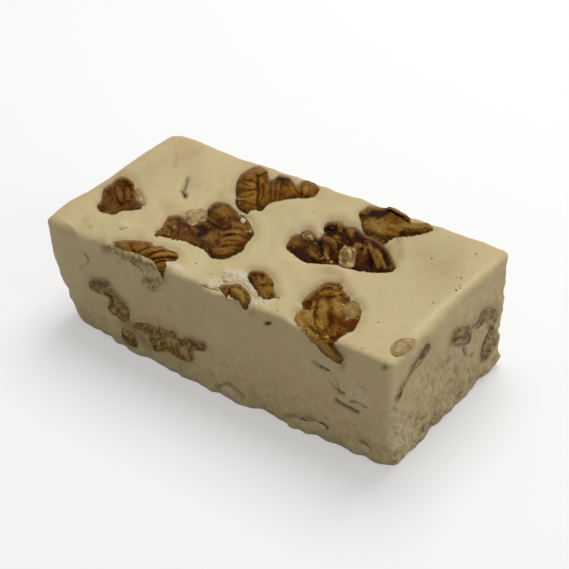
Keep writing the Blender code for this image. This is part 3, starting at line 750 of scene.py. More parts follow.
def blend_colours(tree, factor, under, over, how="MIX"):
    """Lay one colour over another."""
    settings = {0: factor, 6: under, 7: over}
    return add_node(tree, "ShaderNodeMix", settings, data_type="RGBA", blend_type=how).outputs[2]


def reckon(tree, how, first, second):
    """One sum on two values."""
    return add_node(tree, "ShaderNodeMath", {0: first, 1: second}, operation=how).outputs[0]


def scaled_by(tree, amount, value, low, high, least, most):
    """An amount times a factor that goes from least to most as a value goes from low to high."""
    return reckon(tree, "MULTIPLY", amount, spread(tree, value, low, high, least, most))


def wash(tree, under, over, amount, low, high, most=1.0):
    """Lay one colour over another more and more as an amount goes from low to high."""
    return blend_colours(tree, spread(tree, amount, low, high, 0.0, most), under, over)


FIELD_SOCKETS = (
    ("Place", "Vector"), ("Tone", "Float"), ("Red", "Float"), ("Pale", "Float"), ("Char", "Float"),
)
SKIN_SOCKETS = (("Deep", "Color"), ("Body", "Color"), ("Bright", "Color"))
SHADER_SOCKETS = (("Color", "Color"), ("Roughness", "Float"), ("Height", "Float"))
RED_SKIN = shade(88, 38, 6)
AMBER_SKIN = shade(134, 92, 28)
GLINT = shade(214, 190, 140)
AMBER_GLOSS = (1.0, 0.5, 0.12, 1.0)
CREAM_COAT = shade(190, 160, 108)
BURNT_AND_SHADE_BLACK = shade(30, 12, 6)

tree, given, result = new_group("walnut_skin", FIELD_SOCKETS + SKIN_SOCKETS, SHADER_SOCKETS)
cloud = speckle(tree, given["Place"], 620.0, 4.0, 0.6)
grain = speckle(tree, given["Place"], 1900.0, 3.0, 0.65)
clouded = spread(tree, cloud, 0.3, 0.7, -0.45, 0.45)
uneven = reckon(tree, "ADD", clouded, spread(tree, grain, 0.3, 0.7, -0.25, 0.25))
tone = reckon(tree, "ADD", given["Tone"], uneven)
skin = wash(tree, given["Deep"], given["Body"], tone, -1.0, 0.0)
skin = wash(tree, skin, given["Bright"], tone, 0.0, 1.0)
hue = speckle(tree, given["Place"], 260.0, 3.0)
skin = wash(tree, skin, AMBER_SKIN, hue, 0.52, 0.72, 0.45)
redness = reckon(tree, "ADD", given["Red"], spread(tree, hue, 0.48, 0.30, 0.0, 0.45))
skin = wash(tree, skin, RED_SKIN, redness, 0.0, 1.0, 0.85)
# Char: near-black, for burnt patches and for painted shade along some walnuts' near edges.
burnt_and_shade = reckon(tree, "ADD", given["Char"], uneven)
skin = wash(tree, skin, BURNT_AND_SHADE_BLACK, burnt_and_shade, 0.2, 0.8)
dusty = reckon(tree, "ADD", given["Pale"], uneven)
skin = wash(tree, skin, CREAM_COAT, dusty, 0.35, 0.85)
# Painted glints: small pale flecks over the skin that stand in for its highlights.
painted_glints = speckle(tree, given["Place"], 1900.0, 1.0, 0.4)
skin = wash(tree, skin, GLINT, painted_glints, 0.74, 0.84, 0.4)
tree.links.new(skin, result["Color"])
tree.links.new(spread(tree, grain, 0.3, 0.7, 0.18, 0.36), result["Roughness"])
pits = reckon(tree, "MULTIPLY", cloud, 1.5)
tree.links.new(reckon(tree, "ADD", grain, pits), result["Height"])
walnut_skin = tree


def read_field(tree, name):
    """A number kept at each vertex."""
    return add_node(tree, "ShaderNodeAttribute", attribute_name=name).outputs["Fac"]


def with_fields(tree, group, labels, **given):
    """Place a group whose inputs are the place on the piece, its fields and given values."""
    place = add_node(tree, "ShaderNodeTexCoord").outputs["Object"]
    fields = {label: read_field(tree, label.lower()) for label in labels}
    return add_node(tree, "ShaderNodeGroup", {"Place": place} | fields | given, node_tree=group)


def bumped(tree, height, strength, depth):
    """The way that a finely rough surface faces."""
    settings = {"Height": height, "Strength": strength, "Distance": depth}
    return add_node(tree, "ShaderNodeBump", settings).outputs["Normal"]


SKIN_FIELDS = ("Tone", "Red", "Pale", "Char")
SUNK_BROWN = shade(148, 116, 70)


def skin_node(tree, deep, body, bright):
    """The colour of a walnut's skin, in three browns from its creases to its ridges."""
    browns = {"Deep": shade(*deep), "Body": shade(*body), "Bright": shade(*bright)}
    return with_fields(tree, walnut_skin, SKIN_FIELDS, **browns)


def walnut_finish(name, *browns):
    """A walnut skin in its own browns, faintly moist, with light sinking a little way in."""
    made, tree, surface = new_material(name)
    skin = skin_node(tree, *browns)
    colour = blend_colours(tree, read_field(tree, "sunk"), skin.outputs["Color"], SUNK_BROWN)
    normal = bumped(tree, skin.outputs["Height"], 0.8, 0.0005)
    shader = add_node(tree, "ShaderNodeBsdfPrincipled", {
        "Base Color": colour, "Roughness": skin.outputs["Roughness"],
        "Normal": normal, "Specular IOR Level": 0.12, "Specular Tint": AMBER_GLOSS,
        "Subsurface Weight": 0.08, "Subsurface Scale": 0.0008,
        "Subsurface Radius": (1.0, 0.45, 0.15),
    })
    tree.links.new(shader.outputs[0], surface)
    return made


# ---- Walnut at the left ------------------------------------------------------
# A broken quarter of a kernel: an arched fold with ridges under it and lobes in front of it.  Its
# skin is a deep red-brown.  It sank a little into the warm fudge, which has set round it.
walnut_left = laid_piece(
    "walnut_left", outline=(
        -37.8, 20.8, -38.2, 20, -42.5, 19.6, -43.9, 19.3, -44.4, 18.9, -45.7, 18.7, -48.9, 19.5,
        -49.7, 20.8, -49.3, 21.6, -48.6, 22.3, -48.1, 25.3, -47.3, 26.1, -46.2, 26.6, -45.2, 27.7,
        -44.1, 28.4, -43.1, 28.7, -42, 28.5, -40.9, 28, -40.1, 27.2, -39.8, 26.1, -39.2, 22.8,
        -37.9, 21.5,
    ),
    node="nut_left", roughness=(0.18, 0.09), seed=3.0,
    folds=(
        (-45.1, 25.6, -44.8, 23.7, -44.1, 22.1, -43.3, 21.3, 0.34, -0.5, -0.85),
        (-40.7, 25.6, -40.3, 22.9, 0.32, -0.35, -0.42),
        (-42.7, 26.1, -42.6, 22.1, 0.27, -0.3, -0.51),
    ),
    relief=(
        (-44.4, 26.9, -43.1, 27.6, -41.5, 27, 0.42, -0.4), (-43.9, 25.6, -43.6, 22.9, 0.42, 0.25),
        (-41.6, 26.1, -41.5, 22.4, 0.42, 0.3),
        (-47.8, 25, -46.2, 26.1, -44.4, 27.8, -42.5, 28.1, -40.9, 27.4, -40, 25.6, 0.58, 0.25),
        (-47, 21.6, -45.5, 20.8, 0.66, 0.3), (-42, 20.8, -38.8, 20.7, 0.69, 0.25),
        (-43.1, 21.2, -41.7, 21.9, -39.9, 22.1, 0.34, -0.35),
    ),
    tone=(
        (-44.4, 26.6, -42.8, 27, -41.2, 26.6, 0.69, -0.51), (-47.3, 24.5, -46.8, 22.7, 0.69, 0.6),
        (-47.8, 21.1, -46.5, 20.5, 0.69, 0.5), (-45.8, 21.1, 0.4, -0.77),
        # The dark tone line from (-40.9, 20.7) runs along the near bottom edge: painted shade.
        (-44.7, 21.5, -42.8, 21.3, 0.32, -0.68), (-40.9, 20.7, -38.3, 20.5, 0.69, -0.85),
        (-43.6, 24.8, -43.3, 22.7, 0.42, 0.3), (-41.6, 25, -41.5, 22.7, 0.42, 0.4),
        (-46.2, 19.3, -44.1, 19.5, 0.37, 0.7),
    ),
    red=(
        (-47.3, 21.6, -45.7, 21.1, 0.8, 0.6), (-43.6, 26.1, -41.5, 25.6, 1.06, 0.35),
        (-40.4, 20.7, 1.33, 0.5),
    ),
    # Painted shade: char at the right tip of the near bottom edge.
    char=((-38.6, 20.3, 0.48, 0.7),),
)
skin_left = walnut_finish("skin_left", (58, 25, 0), (90, 51, 2), (122, 80, 22))
keep(walnut_left, skin_left, "walnut_brown", "nut_left")


# ---- Large walnut in the middle ----------------------------------------------
# The biggest piece: a smooth round lobe behind, a dark wrinkled lobe at the left and golden ribbed
# lobes at the right, with a hollow between them painted near-black.  It is pressed down into the
# top.
walnut_middle = laid_piece(
    "walnut_middle", outline=(
        -34.6, 13.4, -34.1, 14.2, -33, 14.7, -31.7, 16.6, -31.4, 17.4, -30.6, 18.2, -29.3, 18.4,
        -27.7, 18.4, -26.6, 17.9, -26.1, 17.1, -25, 16.6, -23.5, 16.3, -21.9, 16.7, -20.8, 17.5,
        -20.7, 18.9, -20.3, 20.3, -19.2, 21.3, -18.2, 21.9, -17.1, 22, -15.5, 21.7, -14.2, 21.1,
        -12.1, 18.7, -11.3, 18, -10.2, 17.6, -9.4, 16.8, -8.1, 13.9, -8.2, 13, -10.2, 10.7,
        -10.7, 9.4, -11.5, 8.7, -15, 7, -16.6, 6.8, -18.9, 7, -19.7, 7.4, -20.8, 8.7, -23.5, 10.2,
        -26.6, 11.3, -31.4, 12.1, -34.1, 12.7,
    ),
    node="nut_middle", roughness=(0.18, 0.09), seed=4.0,
    folds=(
        (-20.3, 16.8, -18.9, 15.6, -17.4, 15, -15.8, 14.7, -14.4, 15.4, 0.4, -0.5, -0.72),
        (-16, 12.9, -13.9, 13.3, -11.8, 13.1, -10.2, 12.3, 0.34, -0.55, -0.9),
        (-16.3, 10.2, -13.9, 10.5, -11.5, 10.2, 0.32, -0.4, -0.45),
        (-15.8, 11.5, -12.3, 11.7, 0.21, -0.2, -0.27), (-15.2, 13.9, -11.8, 14, 0.48, 0.3, 0.6),
        (-17.6, 8.9, -14.4, 9.1, 0.9, 0.35, 0.75), (-20, 9.1, -18.9, 7.3, 0.32, -0.3, -0.9),
    ),
    relief=(
        (-17.4, 18.7, 2.39, 0.4), (-18.7, 16.8, -17.1, 16.6, 1.06, -0.4),
        (-16, 14.3, -12.9, 15, -11.3, 14.7, 0.32, -0.4), (-15.2, 12.1, -11, 12.1, 0.58, 0.3),
        (-22.7, 15.5, -21.1, 13.9, 0.9, -0.8), (-20.8, 12.9, -17.6, 11.8, 1.33, 0.2),
        (-26.1, 16.6, -25.3, 14.7, -24.2, 13.1, 0.42, -0.35),
        (-31.1, 15.8, -29.8, 14.2, -30.3, 12.3, 0.34, -0.3),
        (-28.2, 17.6, -27.7, 15.5, -28.2, 12.9, 0.34, -0.3), (-33.3, 13.6, -30.3, 13.4, 0.53, 0.25),
        (-29.3, 16.6, -29.5, 14.2, 0.53, 0.25),
    ),
    tone=(
        (-18.9, 17.6, -17.4, 16.6, 1.06, -0.63), (-16, 14.3, -12.9, 15, 0.24, -0.45),
        (-14.4, 12.1, -11.5, 11.8, 0.64, 0.6), (-13.9, 10.2, 0.8, 0.4),
        (-10.7, 12.3, -9.4, 12.3, 0.66, -0.54), (-28.5, 16, -25.6, 13.9, 1.59, -0.63),
        (-30.3, 16, 1.06, 0.1), (-32.5, 13.6, -30.3, 12.9, 0.69, 0.25),
        (-23.7, 12.3, -21.1, 11, 1.33, -0.41), (-18.9, 13.6, 1.72, -0.23),
        (-12.9, 18.7, -12.3, 16.6, 0.8, -0.14), (-29.8, 17.6, -27.2, 17.4, 0.53, 0.2),
    ),
    red=(
        (-15.5, 16.6, -12.9, 17.1, 1.33, 0.3), (-26.9, 15.5, -25, 13.9, 1.06, 0.5),
        (-11, 11.8, 1.06, 0.4), (-13.9, 9.9, 0.8, 0.3),
    ),
    pale=(
        (-29.3, 15.4, 0.34, 0.75), (-31.7, 14.3, 0.27, 0.5), (-26.1, 14.7, 0.27, 0.6),
        (-12.7, 13.8, 0.29, 0.7), (-9.1, 14.2, 0.42, 0.7), (-10.2, 13.6, 0.37, 0.55),
        (-13.1, 11.7, 0.4, 0.4), (-13.4, 8.2, 0.37, 0.5),
    ),
    char=(
        (-22.7, 15.5, -21.9, 14.7, -21.3, 13.6, -22.7, 13.3, 0.85, 1.1), (-24.2, 14.2, 0.58, 0.6),
    ),
)
skin_middle = walnut_finish("skin_middle", (50, 20, 0), (97, 57, 4), (140, 98, 36))
keep(walnut_middle, skin_middle, "walnut_brown", "nut_middle")


# ---- Walnut at the back edge -------------------------------------------------
# Half a kernel that stands up over the back edge: a ribbed dome, a creased purple-brown wing with
# a burnt edge, and a pale lobe at its tip.  The fudge holds it by its underside.
walnut_back = laid_piece(
    "walnut_back", outline=(
        9.3, 25.7, 9.1, 24.9, 8.7, 24.2, 8.1, 23.6, 7, 23.1, 1.5, 22.7, -2.8, 22, -4.9, 20.9,
        -5.8, 19.6, -7.8, 19.6, -8.9, 19.3, -10.1, 18.6, -11.8, 19.7, -12.6, 20.7, -12.9, 21.6,
        -13, 22.7, -12.7, 23.2, -13, 24.2, -12.6, 27.4, -12.1, 28.5, -11.3, 29.4, -9.4, 30.7,
        -8.6, 31.1, -7.3, 31.4, -6, 31.2, -5.2, 30.7, -4.6, 30.2, -4.1, 28.2, -3.7, 27.9,
        -2.5, 28.1, -1.6, 29.1, 1.2, 28.5, 3, 26.6, 3.7, 26.5, 5, 27.7, 7.8, 27,
    ),
    node="nut_back", roughness=(0.18, 0.09), seed=5.0,
    folds=(
        (-7.2, 28.8, -6.9, 25, -7.2, 22.4, -7, 20.3, 0.42, -0.6, -0.65),
        (-12.1, 27.4, -9.1, 27.6, -7.3, 26.6, 0.32, -0.35, -0.36),
        (-12.1, 24.9, -9.1, 24.9, -7.3, 25.3, 0.32, -0.35, -0.36),
        (-12.6, 23.3, -10.5, 23.2, -8.1, 24, 0.32, -0.3, -0.29),
        (-11.5, 21.3, -9.7, 21.6, -7.8, 21.1, 0.32, -0.3, -0.22),
        (-11.5, 26.4, -8.1, 26.4, 0.64, 0.3, 0.55),
        (-6, 26.6, -5.7, 24, -6.4, 21.6, 0.27, -0.3, -0.36),
        (-3.6, 26.6, -3.7, 22.4, 0.27, -0.35, -0.43), (-2.3, 26.6, -2.5, 22.7, 0.24, -0.3, -0.43),
        (-0.9, 26.9, -1.2, 22.9, 0.24, -0.3, -0.36), (2.3, 26.2, 3.8, 24, 0.32, -0.3, -0.5),
        (4.4, 26.1, 4.6, 23.7, 0.32, -0.4, -0.36), (6.5, 26.4, 6.8, 23.5, 0.27, -0.25, -0.29),
    ),
    relief=(
        (-11.5, 24.1, -8.1, 24.4, 0.48, 0.25), (-11.3, 22.4, -7.8, 22.7, 0.53, 0.25),
        (-8.6, 29.8, -5.4, 29.5, 0.8, 0.3), (-4.9, 26.1, -4.8, 22.4, 0.37, 0.25),
        (5.4, 25.3, 5.4, 24, 0.66, 0.3), (7.7, 25, 0.8, 0.35), (-2, 28.5, 1.5, 28, 0.4, 0.3),
    ),
    tone=(
        (-11, 24, -8.3, 24, 0.74, 0.5), (-10.7, 22.1, -8.1, 22.4, 0.74, 0.4),
        (-8.3, 30.2, -5.7, 29.9, 0.69, 0.35), (-12.3, 26.1, -12.3, 24, 0.58, -0.5),
        (-12.5, 21.6, -11.5, 19.9, -10.2, 18.9, 0.42, -0.65), (-5.7, 28.8, -4.9, 27.4, 0.64, 0.2),
        (-3.8, 26.1, -0.1, 25.8, 1.59, -0.29), (-3.3, 22.9, -5.4, 21.3, 0.53, -0.29),
        (0.7, 26.1, 1.7, 24.5, 0.21, -0.43), (0.9, 24.2, 3.3, 24.2, 0.64, 0.5),
        (5.2, 26.6, 6.2, 25, 0.8, 0.35), (7, 24.2, 0.69, 0.7),
        (-7.2, 21.3, -6.8, 19.7, 0.27, -0.65), (-6, 20.8, -6, 19.5, 0.24, -0.65),
    ),
    red=(
        (-6, 25.6, -4.9, 22.4, 1.06, 0.35), (-4.4, 24.5, -0.7, 24.5, 1.59, 0.35),
        (7.7, 25, 0.74, 0.5), (-7, 21.3, -7, 20, 0.53, 0.5), (-9.9, 28.8, -7.6, 28.5, 1.06, 0.25),
    ),
    pale=(
        (-9.9, 27.1, 0.24, 0.8), (-8, 26.4, 0.32, 0.6), (-12.2, 27, 0.27, 0.4),
        (-12.9, 22.9, -11.8, 22.5, 0.21, 1.0), (-11.9, 21.6, -11.5, 20.3, 0.48, 0.5),
        (-8.9, 20, -7.6, 20.3, 0.53, 0.25),
    ),
    char=(
        (-2, 28.4, 1.5, 27.8, 2.3, 26.9, 0.45, 1.0), (-3, 27.6, 0.9, 27, 0.69, 0.62),
        (-3.8, 27.6, 0.32, 0.4),
    ),
)
skin_back = walnut_finish("skin_back", (54, 27, 0), (119, 76, 9), (152, 108, 36))
keep(walnut_back, skin_back, "walnut_brown", "nut_back")


# ---- Sunken heap of walnut ---------------------------------------------------
# Curled bits and lobes in a hole right of the middle, dark and moist, with paler kernel where the
# skin is broken.  They touch, and are stuck together and to the floor of the hole with fudge.
walnut_cluster = laid_piece(
    "walnut_cluster", outline=(
        0.4, 9.9, 1.5, 12.3, 2.5, 13.1, 3.8, 13.4, 4.6, 14, 5.7, 14.3, 7, 14.3, 9.1, 12.3,
        9.7, 13.1, 10.5, 13.6, 10.3, 14.7, 10.7, 15.8, 11.5, 16.6, 12.9, 16.8, 14.4, 16.8,
        15.5, 16.3, 16, 15.5, 18.9, 15.2, 21.1, 13.4, 23.7, 12.3, 26.1, 10.7, 27.7, 8.9, 29, 6.2,
        29.4, 5.2, 29.3, 4.1, 27.2, 3.2, 21.6, 3.4, 18.4, 4, 17.4, 4.5, 14.2, 5.3, 6, 5.8, 4.6, 6.4,
        3.3, 7.3, 0.9, 9.1,
    ),
    node="nut_cluster", softness=0.5, rim=-0.9, roughness=(0.30, 0.14), seed=6.0,
    folds=(
        (9.4, 12.3, 9.1, 10.2, 9.9, 8.9, 0.48, -0.8, -1.2),
        (9.7, 12.9, 12.1, 13.1, 13.9, 11.3, 14.8, 8.9, 14.3, 6, 0.34, -0.5, -1.1),
        (11.8, 12.1, 13.1, 10.2, 0.19, -0.25, -0.5), (12.6, 12.3, 14.2, 9.9, 0.19, -0.25, 0.8),
        (6.5, 12.9, 1.11, 0.8, 0.9), (4.6, 13.4, 5.7, 14, 7.3, 13.9, 8.6, 12.3, 0.27, -0.5, -1.3),
        (4.1, 10.5, 6.8, 10.2, 1.06, 0.5, -0.4), (10.5, 8.9, 11.8, 6.5, 0.32, 0.4, 0.9),
        (12.1, 15.5, 13.1, 14.2, 0.69, 0.4, -0.8), (14.6, 16, 0.53, 0.5, 1.0),
        (17.9, 14.2, 1.06, 0.5, 0.7), (19.2, 10.5, 20.3, 10.2, 0.74, 0.5, 0.8),
        (21.9, 11.3, 23.5, 9.7, 0.42, 0.5, 0.35),
        (22.1, 9.1, 22.7, 6.5, 22.8, 3.6, 0.37, -0.7, -1.3), (24.2, 9.1, 26.9, 4.6, 0.37, 0.6, 0.8),
    ),
    relief=(
        (11, 11.8, 13.1, 9.9, 13.6, 7.6, 0.9, 0.7), (2.5, 11, 0.93, 0.4),
        (4.9, 8.3, 7.3, 7, 0.58, -0.4), (8.3, 7.6, 10.2, 7, 0.8, 0.3),
        (16, 9.9, 14.7, 12.3, 13.1, 12.9, 0.27, 0.4),
        (16, 15.5, 16.3, 13.1, 17.1, 11.3, 0.37, -0.6), (15.5, 9.1, 17.9, 8.9, 0.85, 0.7),
        (18.4, 9.1, 18.9, 7.6, 18.4, 6.5, 0.32, -0.6), (16, 6.5, 1.06, 0.4),
        (20.5, 11.3, 20.3, 9.1, 19.2, 7.6, 18.7, 4.9, 0.34, -0.6), (20.8, 8.1, 20.8, 4.9, 0.9, 0.4),
        (24.8, 6, 1.06, 0.4), (26.1, 9.1, 26.9, 7.3, 27.2, 5.4, 0.42, -0.7),
        (27.4, 3.8, 27.7, 6, 28.2, 7.6, 0.27, -0.4), (21.6, 12.3, 24.8, 11, 26.9, 9.1, 0.64, 0.3),
    ),
    tone=(
        (10.5, 11.3, 13.1, 9.4, 13.4, 7, 0.95, -0.35), (2, 11, 3.3, 11.8, 0.8, 0.35),
        # The dark tone line from (3.6, 8.6) along the near rim is painted shadow under the fudge's
        # lip.
        (3.6, 8.6, 5.7, 7, 7.8, 6.2, 0.69, -1.1), (7.8, 8.1, 9.7, 7.3, 0.8, 0.3),
        (15.5, 15.5, 15.8, 13.4, 0.32, -0.9), (16.3, 11.8, 18.7, 12.3, 0.8, -0.6),
        (20, 12.9, 21.6, 11.8, 1.06, -0.9), (16, 6.8, 17.4, 6, 1.06, 0.45),
        (20.8, 10.2, 19.2, 5.4, 0.42, -0.7), (20.5, 6, 21.6, 7, 1.19, -0.9),
        (23.7, 7.6, 24.8, 4.9, 0.8, 0.55), (26.4, 9.1, 26.9, 7, 0.58, -1.2), (28.2, 5.4, 0.64, 0.2),
        (22.7, 12.3, 25.8, 10.7, 0.8, -0.6), (27.4, 6, 27.4, 3.6, 0.21, -0.9),
    ),
    red=(
        (4.1, 10.2, 7.3, 9.1, 1.59, 0.5), (20.5, 6.5, 1.59, 0.6),
        (22.7, 11.8, 26.4, 9.9, 1.06, 0.5), (8.9, 7.3, 0.8, 0.3),
    ),
    pale=(
        (6, 13.1, 6.5, 12.1, 0.53, 0.55), (15.8, 9.7, 17.6, 9.1, 0.69, 1.0), (18.2, 8.1, 0.42, 0.6),
        (8.5, 10.7, 0.32, 0.5), (9.9, 6.9, 0.34, 0.6), (10.6, 8.5, 11.7, 6.9, 0.19, 0.8),
        (12.3, 6, 0.34, 0.9), (14.7, 16.4, 0.34, 0.6), (22.1, 11, 23.7, 9.7, 0.16, 0.6),
        (24.8, 8.9, 25.6, 7.6, 0.21, 0.8), (26.9, 4.9, 26.6, 4.1, 0.24, 0.5),
        (13.1, 12.9, 16, 10.3, 0.16, 0.6), (27.2, 9.4, 0.24, 0.5), (12.9, 7, 0.24, 0.5),
    ),
    char=(
        # The char lines from (4.4, 8.1) and (21.9, 6), along the near rim, are painted shadow under
        # the fudge's lip.
        (4.4, 8.1, 7.3, 6.2, 0.64, 0.7), (9.9, 11.8, 11.8, 9.7, 13.6, 8.3, 1.06, 0.5),
        (11.8, 15.8, 13.1, 14.2, 1.33, 0.62), (21.9, 6, 22.1, 4.1, 0.69, 0.8),
        (26.6, 7.8, 0.48, 0.8), (23.2, 11.5, 0.66, 0.5),
    ),
)
skin_cluster = walnut_finish("skin_cluster", (22, 2, 0), (62, 30, 0), (134, 96, 36))
keep(walnut_cluster, skin_cluster, "walnut_brown", "nut_cluster")


# ---- Tan walnut at the back edge ---------------------------------------------
# A low dome with a thin rim and a tail to the right.  Its skin has rubbed off to the tan kernel,
# except for a burnt patch at the rim.  It lies close behind the heap, pressed into the top.
walnut_back_right = laid_piece(
    "walnut_back_right", outline=(
        19.7, 18.7, 20.3, 19.5, 22.1, 20.7, 23.2, 20.8, 26.4, 20.3, 28.2, 20.6, 31.1, 19.3,
        32.5, 18.4, 33.5, 17.4, 33.5, 16.6, 34.3, 16.3, 37.2, 16.4, 38.3, 16, 39.1, 15.4,
        39.5, 14.7, 38.8, 14.2, 35.4, 13.1, 31.1, 12.7, 29.3, 12.3, 26.1, 11, 21.9, 13, 21.1, 13.9,
        20.5, 15.2,
    ),
    node="nut_back_right", roughness=(0.16, 0.07), seed=7.0,
    folds=(
        (28.2, 19.6, 33.3, 16.3, 0.29, -0.45, -1.1),
        (28.2, 20.3, 31.1, 18.9, 33.3, 17.1, 0.32, 0.35, 0.5),
        (20.5, 19.2, 21.6, 17.9, 0.53, 0.2, -0.8),
    ),
    relief=(
        (24.8, 18.7, 1.86, -0.3), (21.6, 16, 26.4, 15, 1.06, 0.3),
        (28, 15.5, 33.3, 14.7, 38, 15, 0.64, 0.3),
    ),
    tone=(
        (21.9, 16, 25.3, 14.4, 1.06, 0.55), (27.4, 15.5, 30.6, 15.5, 1.06, 0.1),
        (20.3, 17.4, 20.5, 15, 0.34, 0.3), (31.9, 14.7, 37.2, 15, 0.8, 0.15),
        (29.5, 13.6, 34.3, 13.5, 0.24, -0.5), (26.6, 12.9, 29, 12.6, 0.53, -0.6),
    ),
    red=(
        (28.5, 18.4, 31.1, 17.1, 1.06, 0.5), (22.7, 20.3, 24.2, 19.7, 0.8, 0.3),
        (26.4, 12.1, 0.8, 0.4), (34.6, 14.7, 0.93, 0.2),
    ),
    pale=(
        (25.2, 14.4, 0.32, 0.8), (26.4, 14, 0.29, 0.8), (27.6, 13.9, 0.29, 0.8),
        (26.9, 20, 0.27, 0.5), (26.1, 11.5, 0.32, 0.6), (21.1, 16, 0.42, 0.4),
        (30.9, 16.8, 32.7, 16.3, 0.19, 0.5),
    ),
    char=(
        (23.5, 18.7, 25, 18.4, 26.9, 19.2, 27.7, 20, 1.11, 1.15),
        (21.6, 19.5, 22.1, 18.2, 0.42, 0.5), (28.8, 19.3, 0.32, 0.7),
    ),
)
skin_back_right = walnut_finish("skin_back_right", (48, 22, 0), (120, 84, 18), (152, 118, 52))
keep(walnut_back_right, skin_back_right, "walnut_brown", "nut_back_right")


# ---- Walnut at the front edge, left ------------------------------------------
# Fanned amber folds of kernel, over a crumbled rib of fudge that shows on the front.  It lay in
# the way of the knife, so its near side ends at the cut.
walnut_front_left = laid_piece(
    "walnut_front_left", outline=(
        -45.7, 11.1, -43.3, 11.7, -40.9, 11.8, -35.5, 11.3, -34.7, 10.3, -32.2, 10.2, -31.3, 9.5,
        -29.3, 9.1, -28.2, 8.2, -28, 7.3, -28.8, 6.4, -30.1, 6.2, -31, 5.8, -30.8, 4.9, -31.3, 3.9,
        -31.9, 3.4, -32.1, 2, -33, 2.5, -35.9, 5.4, -42.5, 8.1, -44.1, 9.1, -45.5, 10.2,
    ),
    node="nut_front_left", softness=0.5, roughness=(0.16, 0.08), seed=8.0,
    folds=(
        (-39.4, 7.8, -37.5, 9.3, -35.6, 9.8, -33, 9.9, 0.29, -0.5, -0.8),
        (-37, 6.9, -35.1, 8.1, -33, 8.9, -30.9, 9, -29.3, 8.7, 0.32, -0.6, -1.04),
        (-35.6, 6.5, -33.5, 7, -31.4, 7.2, -28.2, 6.9, 0.32, -0.6, -0.96),
        (-34.1, 5.8, -32.5, 6.3, -31.1, 5.8, 0.29, -0.5, -0.64),
        (-41.7, 11.5, -40.7, 10.2, -40.1, 8.6, 0.29, -0.3, -0.24),
        (-34.6, 7.6, -29.8, 8, 0.53, 0.4, 0.8),
        (-40.4, 8.3, -35.6, 4.6, -34.6, 3, 0.27, -0.45, -1.04),
    ),
    relief=(
        (-37.5, 10.2, -39.9, 9.7, 0.69, 0.35), (-36.2, 8.9, -33, 9.4, 0.48, 0.35),
        (-33.5, 4.9, 0.8, 0.4), (-43.1, 10.2, 0.8, 0.25),
    ),
    tone=(
        (-44.7, 11.5, -43.6, 10.7, 0.4, -0.8), (-35.6, 8.7, -32.5, 9.5, 0.4, 0.45),
        (-43.3, 10.2, -42, 9.1, 0.69, 0.4), (-33.8, 4.6, -32.2, 4.9, 0.74, 0.6),
        (-29.5, 7.7, -28.2, 7.6, 0.42, 0.3), (-42.5, 9.9, -42, 10.2, 0.19, -0.56),
    ),
    red=((-33, 3, -32.2, 2, 0.8, 0.8), (-33.5, 4.9, 0.8, 0.3), (-40.1, 10.2, -37, 10.5, 1.06, 0.3)),
    pale=((-39.1, 7.6, -36.8, 6.6, 0.37, 1.0), (-31.9, 8.3, 0.24, 0.6)),
)
skin_front_left = walnut_finish("skin_front_left", (74, 38, 0), (118, 77, 14), (152, 112, 44))
keep(walnut_front_left, skin_front_left, "walnut_brown", "nut_front_left")


# ---- Walnut chip by the front edge -------------------------------------------
# A thick oval chip of kernel with a raised rim on its far side, golden brown.  It stands in the
# top where the fudge round it has dried to crumbling sugar.
walnut_bit_right = laid_piece(
    "walnut_bit_right", outline=(
        -9.1, 3.6, -8.1, 3.8, -6.5, 3.8, -5.2, 3.4, -4.1, 2.5, -3.3, 1.5, -2.8, 0.1, -2.8, -1.2,
        -1.9, -3.3, -2.8, -3.4, -5.2, -4.6, -7, -3.6, -9.7, 1.2, -9.7, 2.5,
    ),
    node="nut_bit_right", softness=0.5, roughness=(0.22, 0.14), seed=9.0,
    folds=(
        (-8.9, 3.3, -7, 3.7, -5.4, 3.5, -4.4, 2.7, -3.6, 1.5, 0.27, 0.45, 1.1),
        (-7, -0.4, -4.9, 0.1, 0.24, -0.25, -0.5), (-3.8, -0.4, -2.5, -3, 0.27, 0.3, 0.6),
    ),
    relief=((-9.1, 1.2, -8.1, -0.7, 0.48, -0.5), (-7, 0.7, -4.4, -1.5, 0.8, 0.2)),
    tone=(
        (-9.1, 1.5, -8.6, 0.1, -7.8, -0.9, 0.53, -1.6), (-8.3, 2.8, -7, 2.9, -5.7, 2.5, 0.32, -0.4),
        (-6.5, -1.5, -4.9, -2.8, 0.8, 0.3), (-3, 1.5, -3, -0.4, 0.4, -0.5),
        (-7.8, 2.3, -7, 0.9, 0.53, -0.3),
    ),
    red=((-8.9, 2.8, -8.1, 1.2, 0.8, 0.5), (-6.5, -2.5, 0.8, 0.3)),
    pale=((-7, -0.7, 0.27, 0.6), (-6, -3.3, -4.9, -4.1, 0.19, 0.6)),
    char=((-8.6, 0.7, -8.1, -0.4, 0.34, 0.6),),
)
skin_bit_right = walnut_finish("skin_bit_right", (54, 26, 0), (106, 71, 10), (146, 110, 42))
keep(walnut_bit_right, skin_bit_right, "walnut_brown", "nut_bit_right")


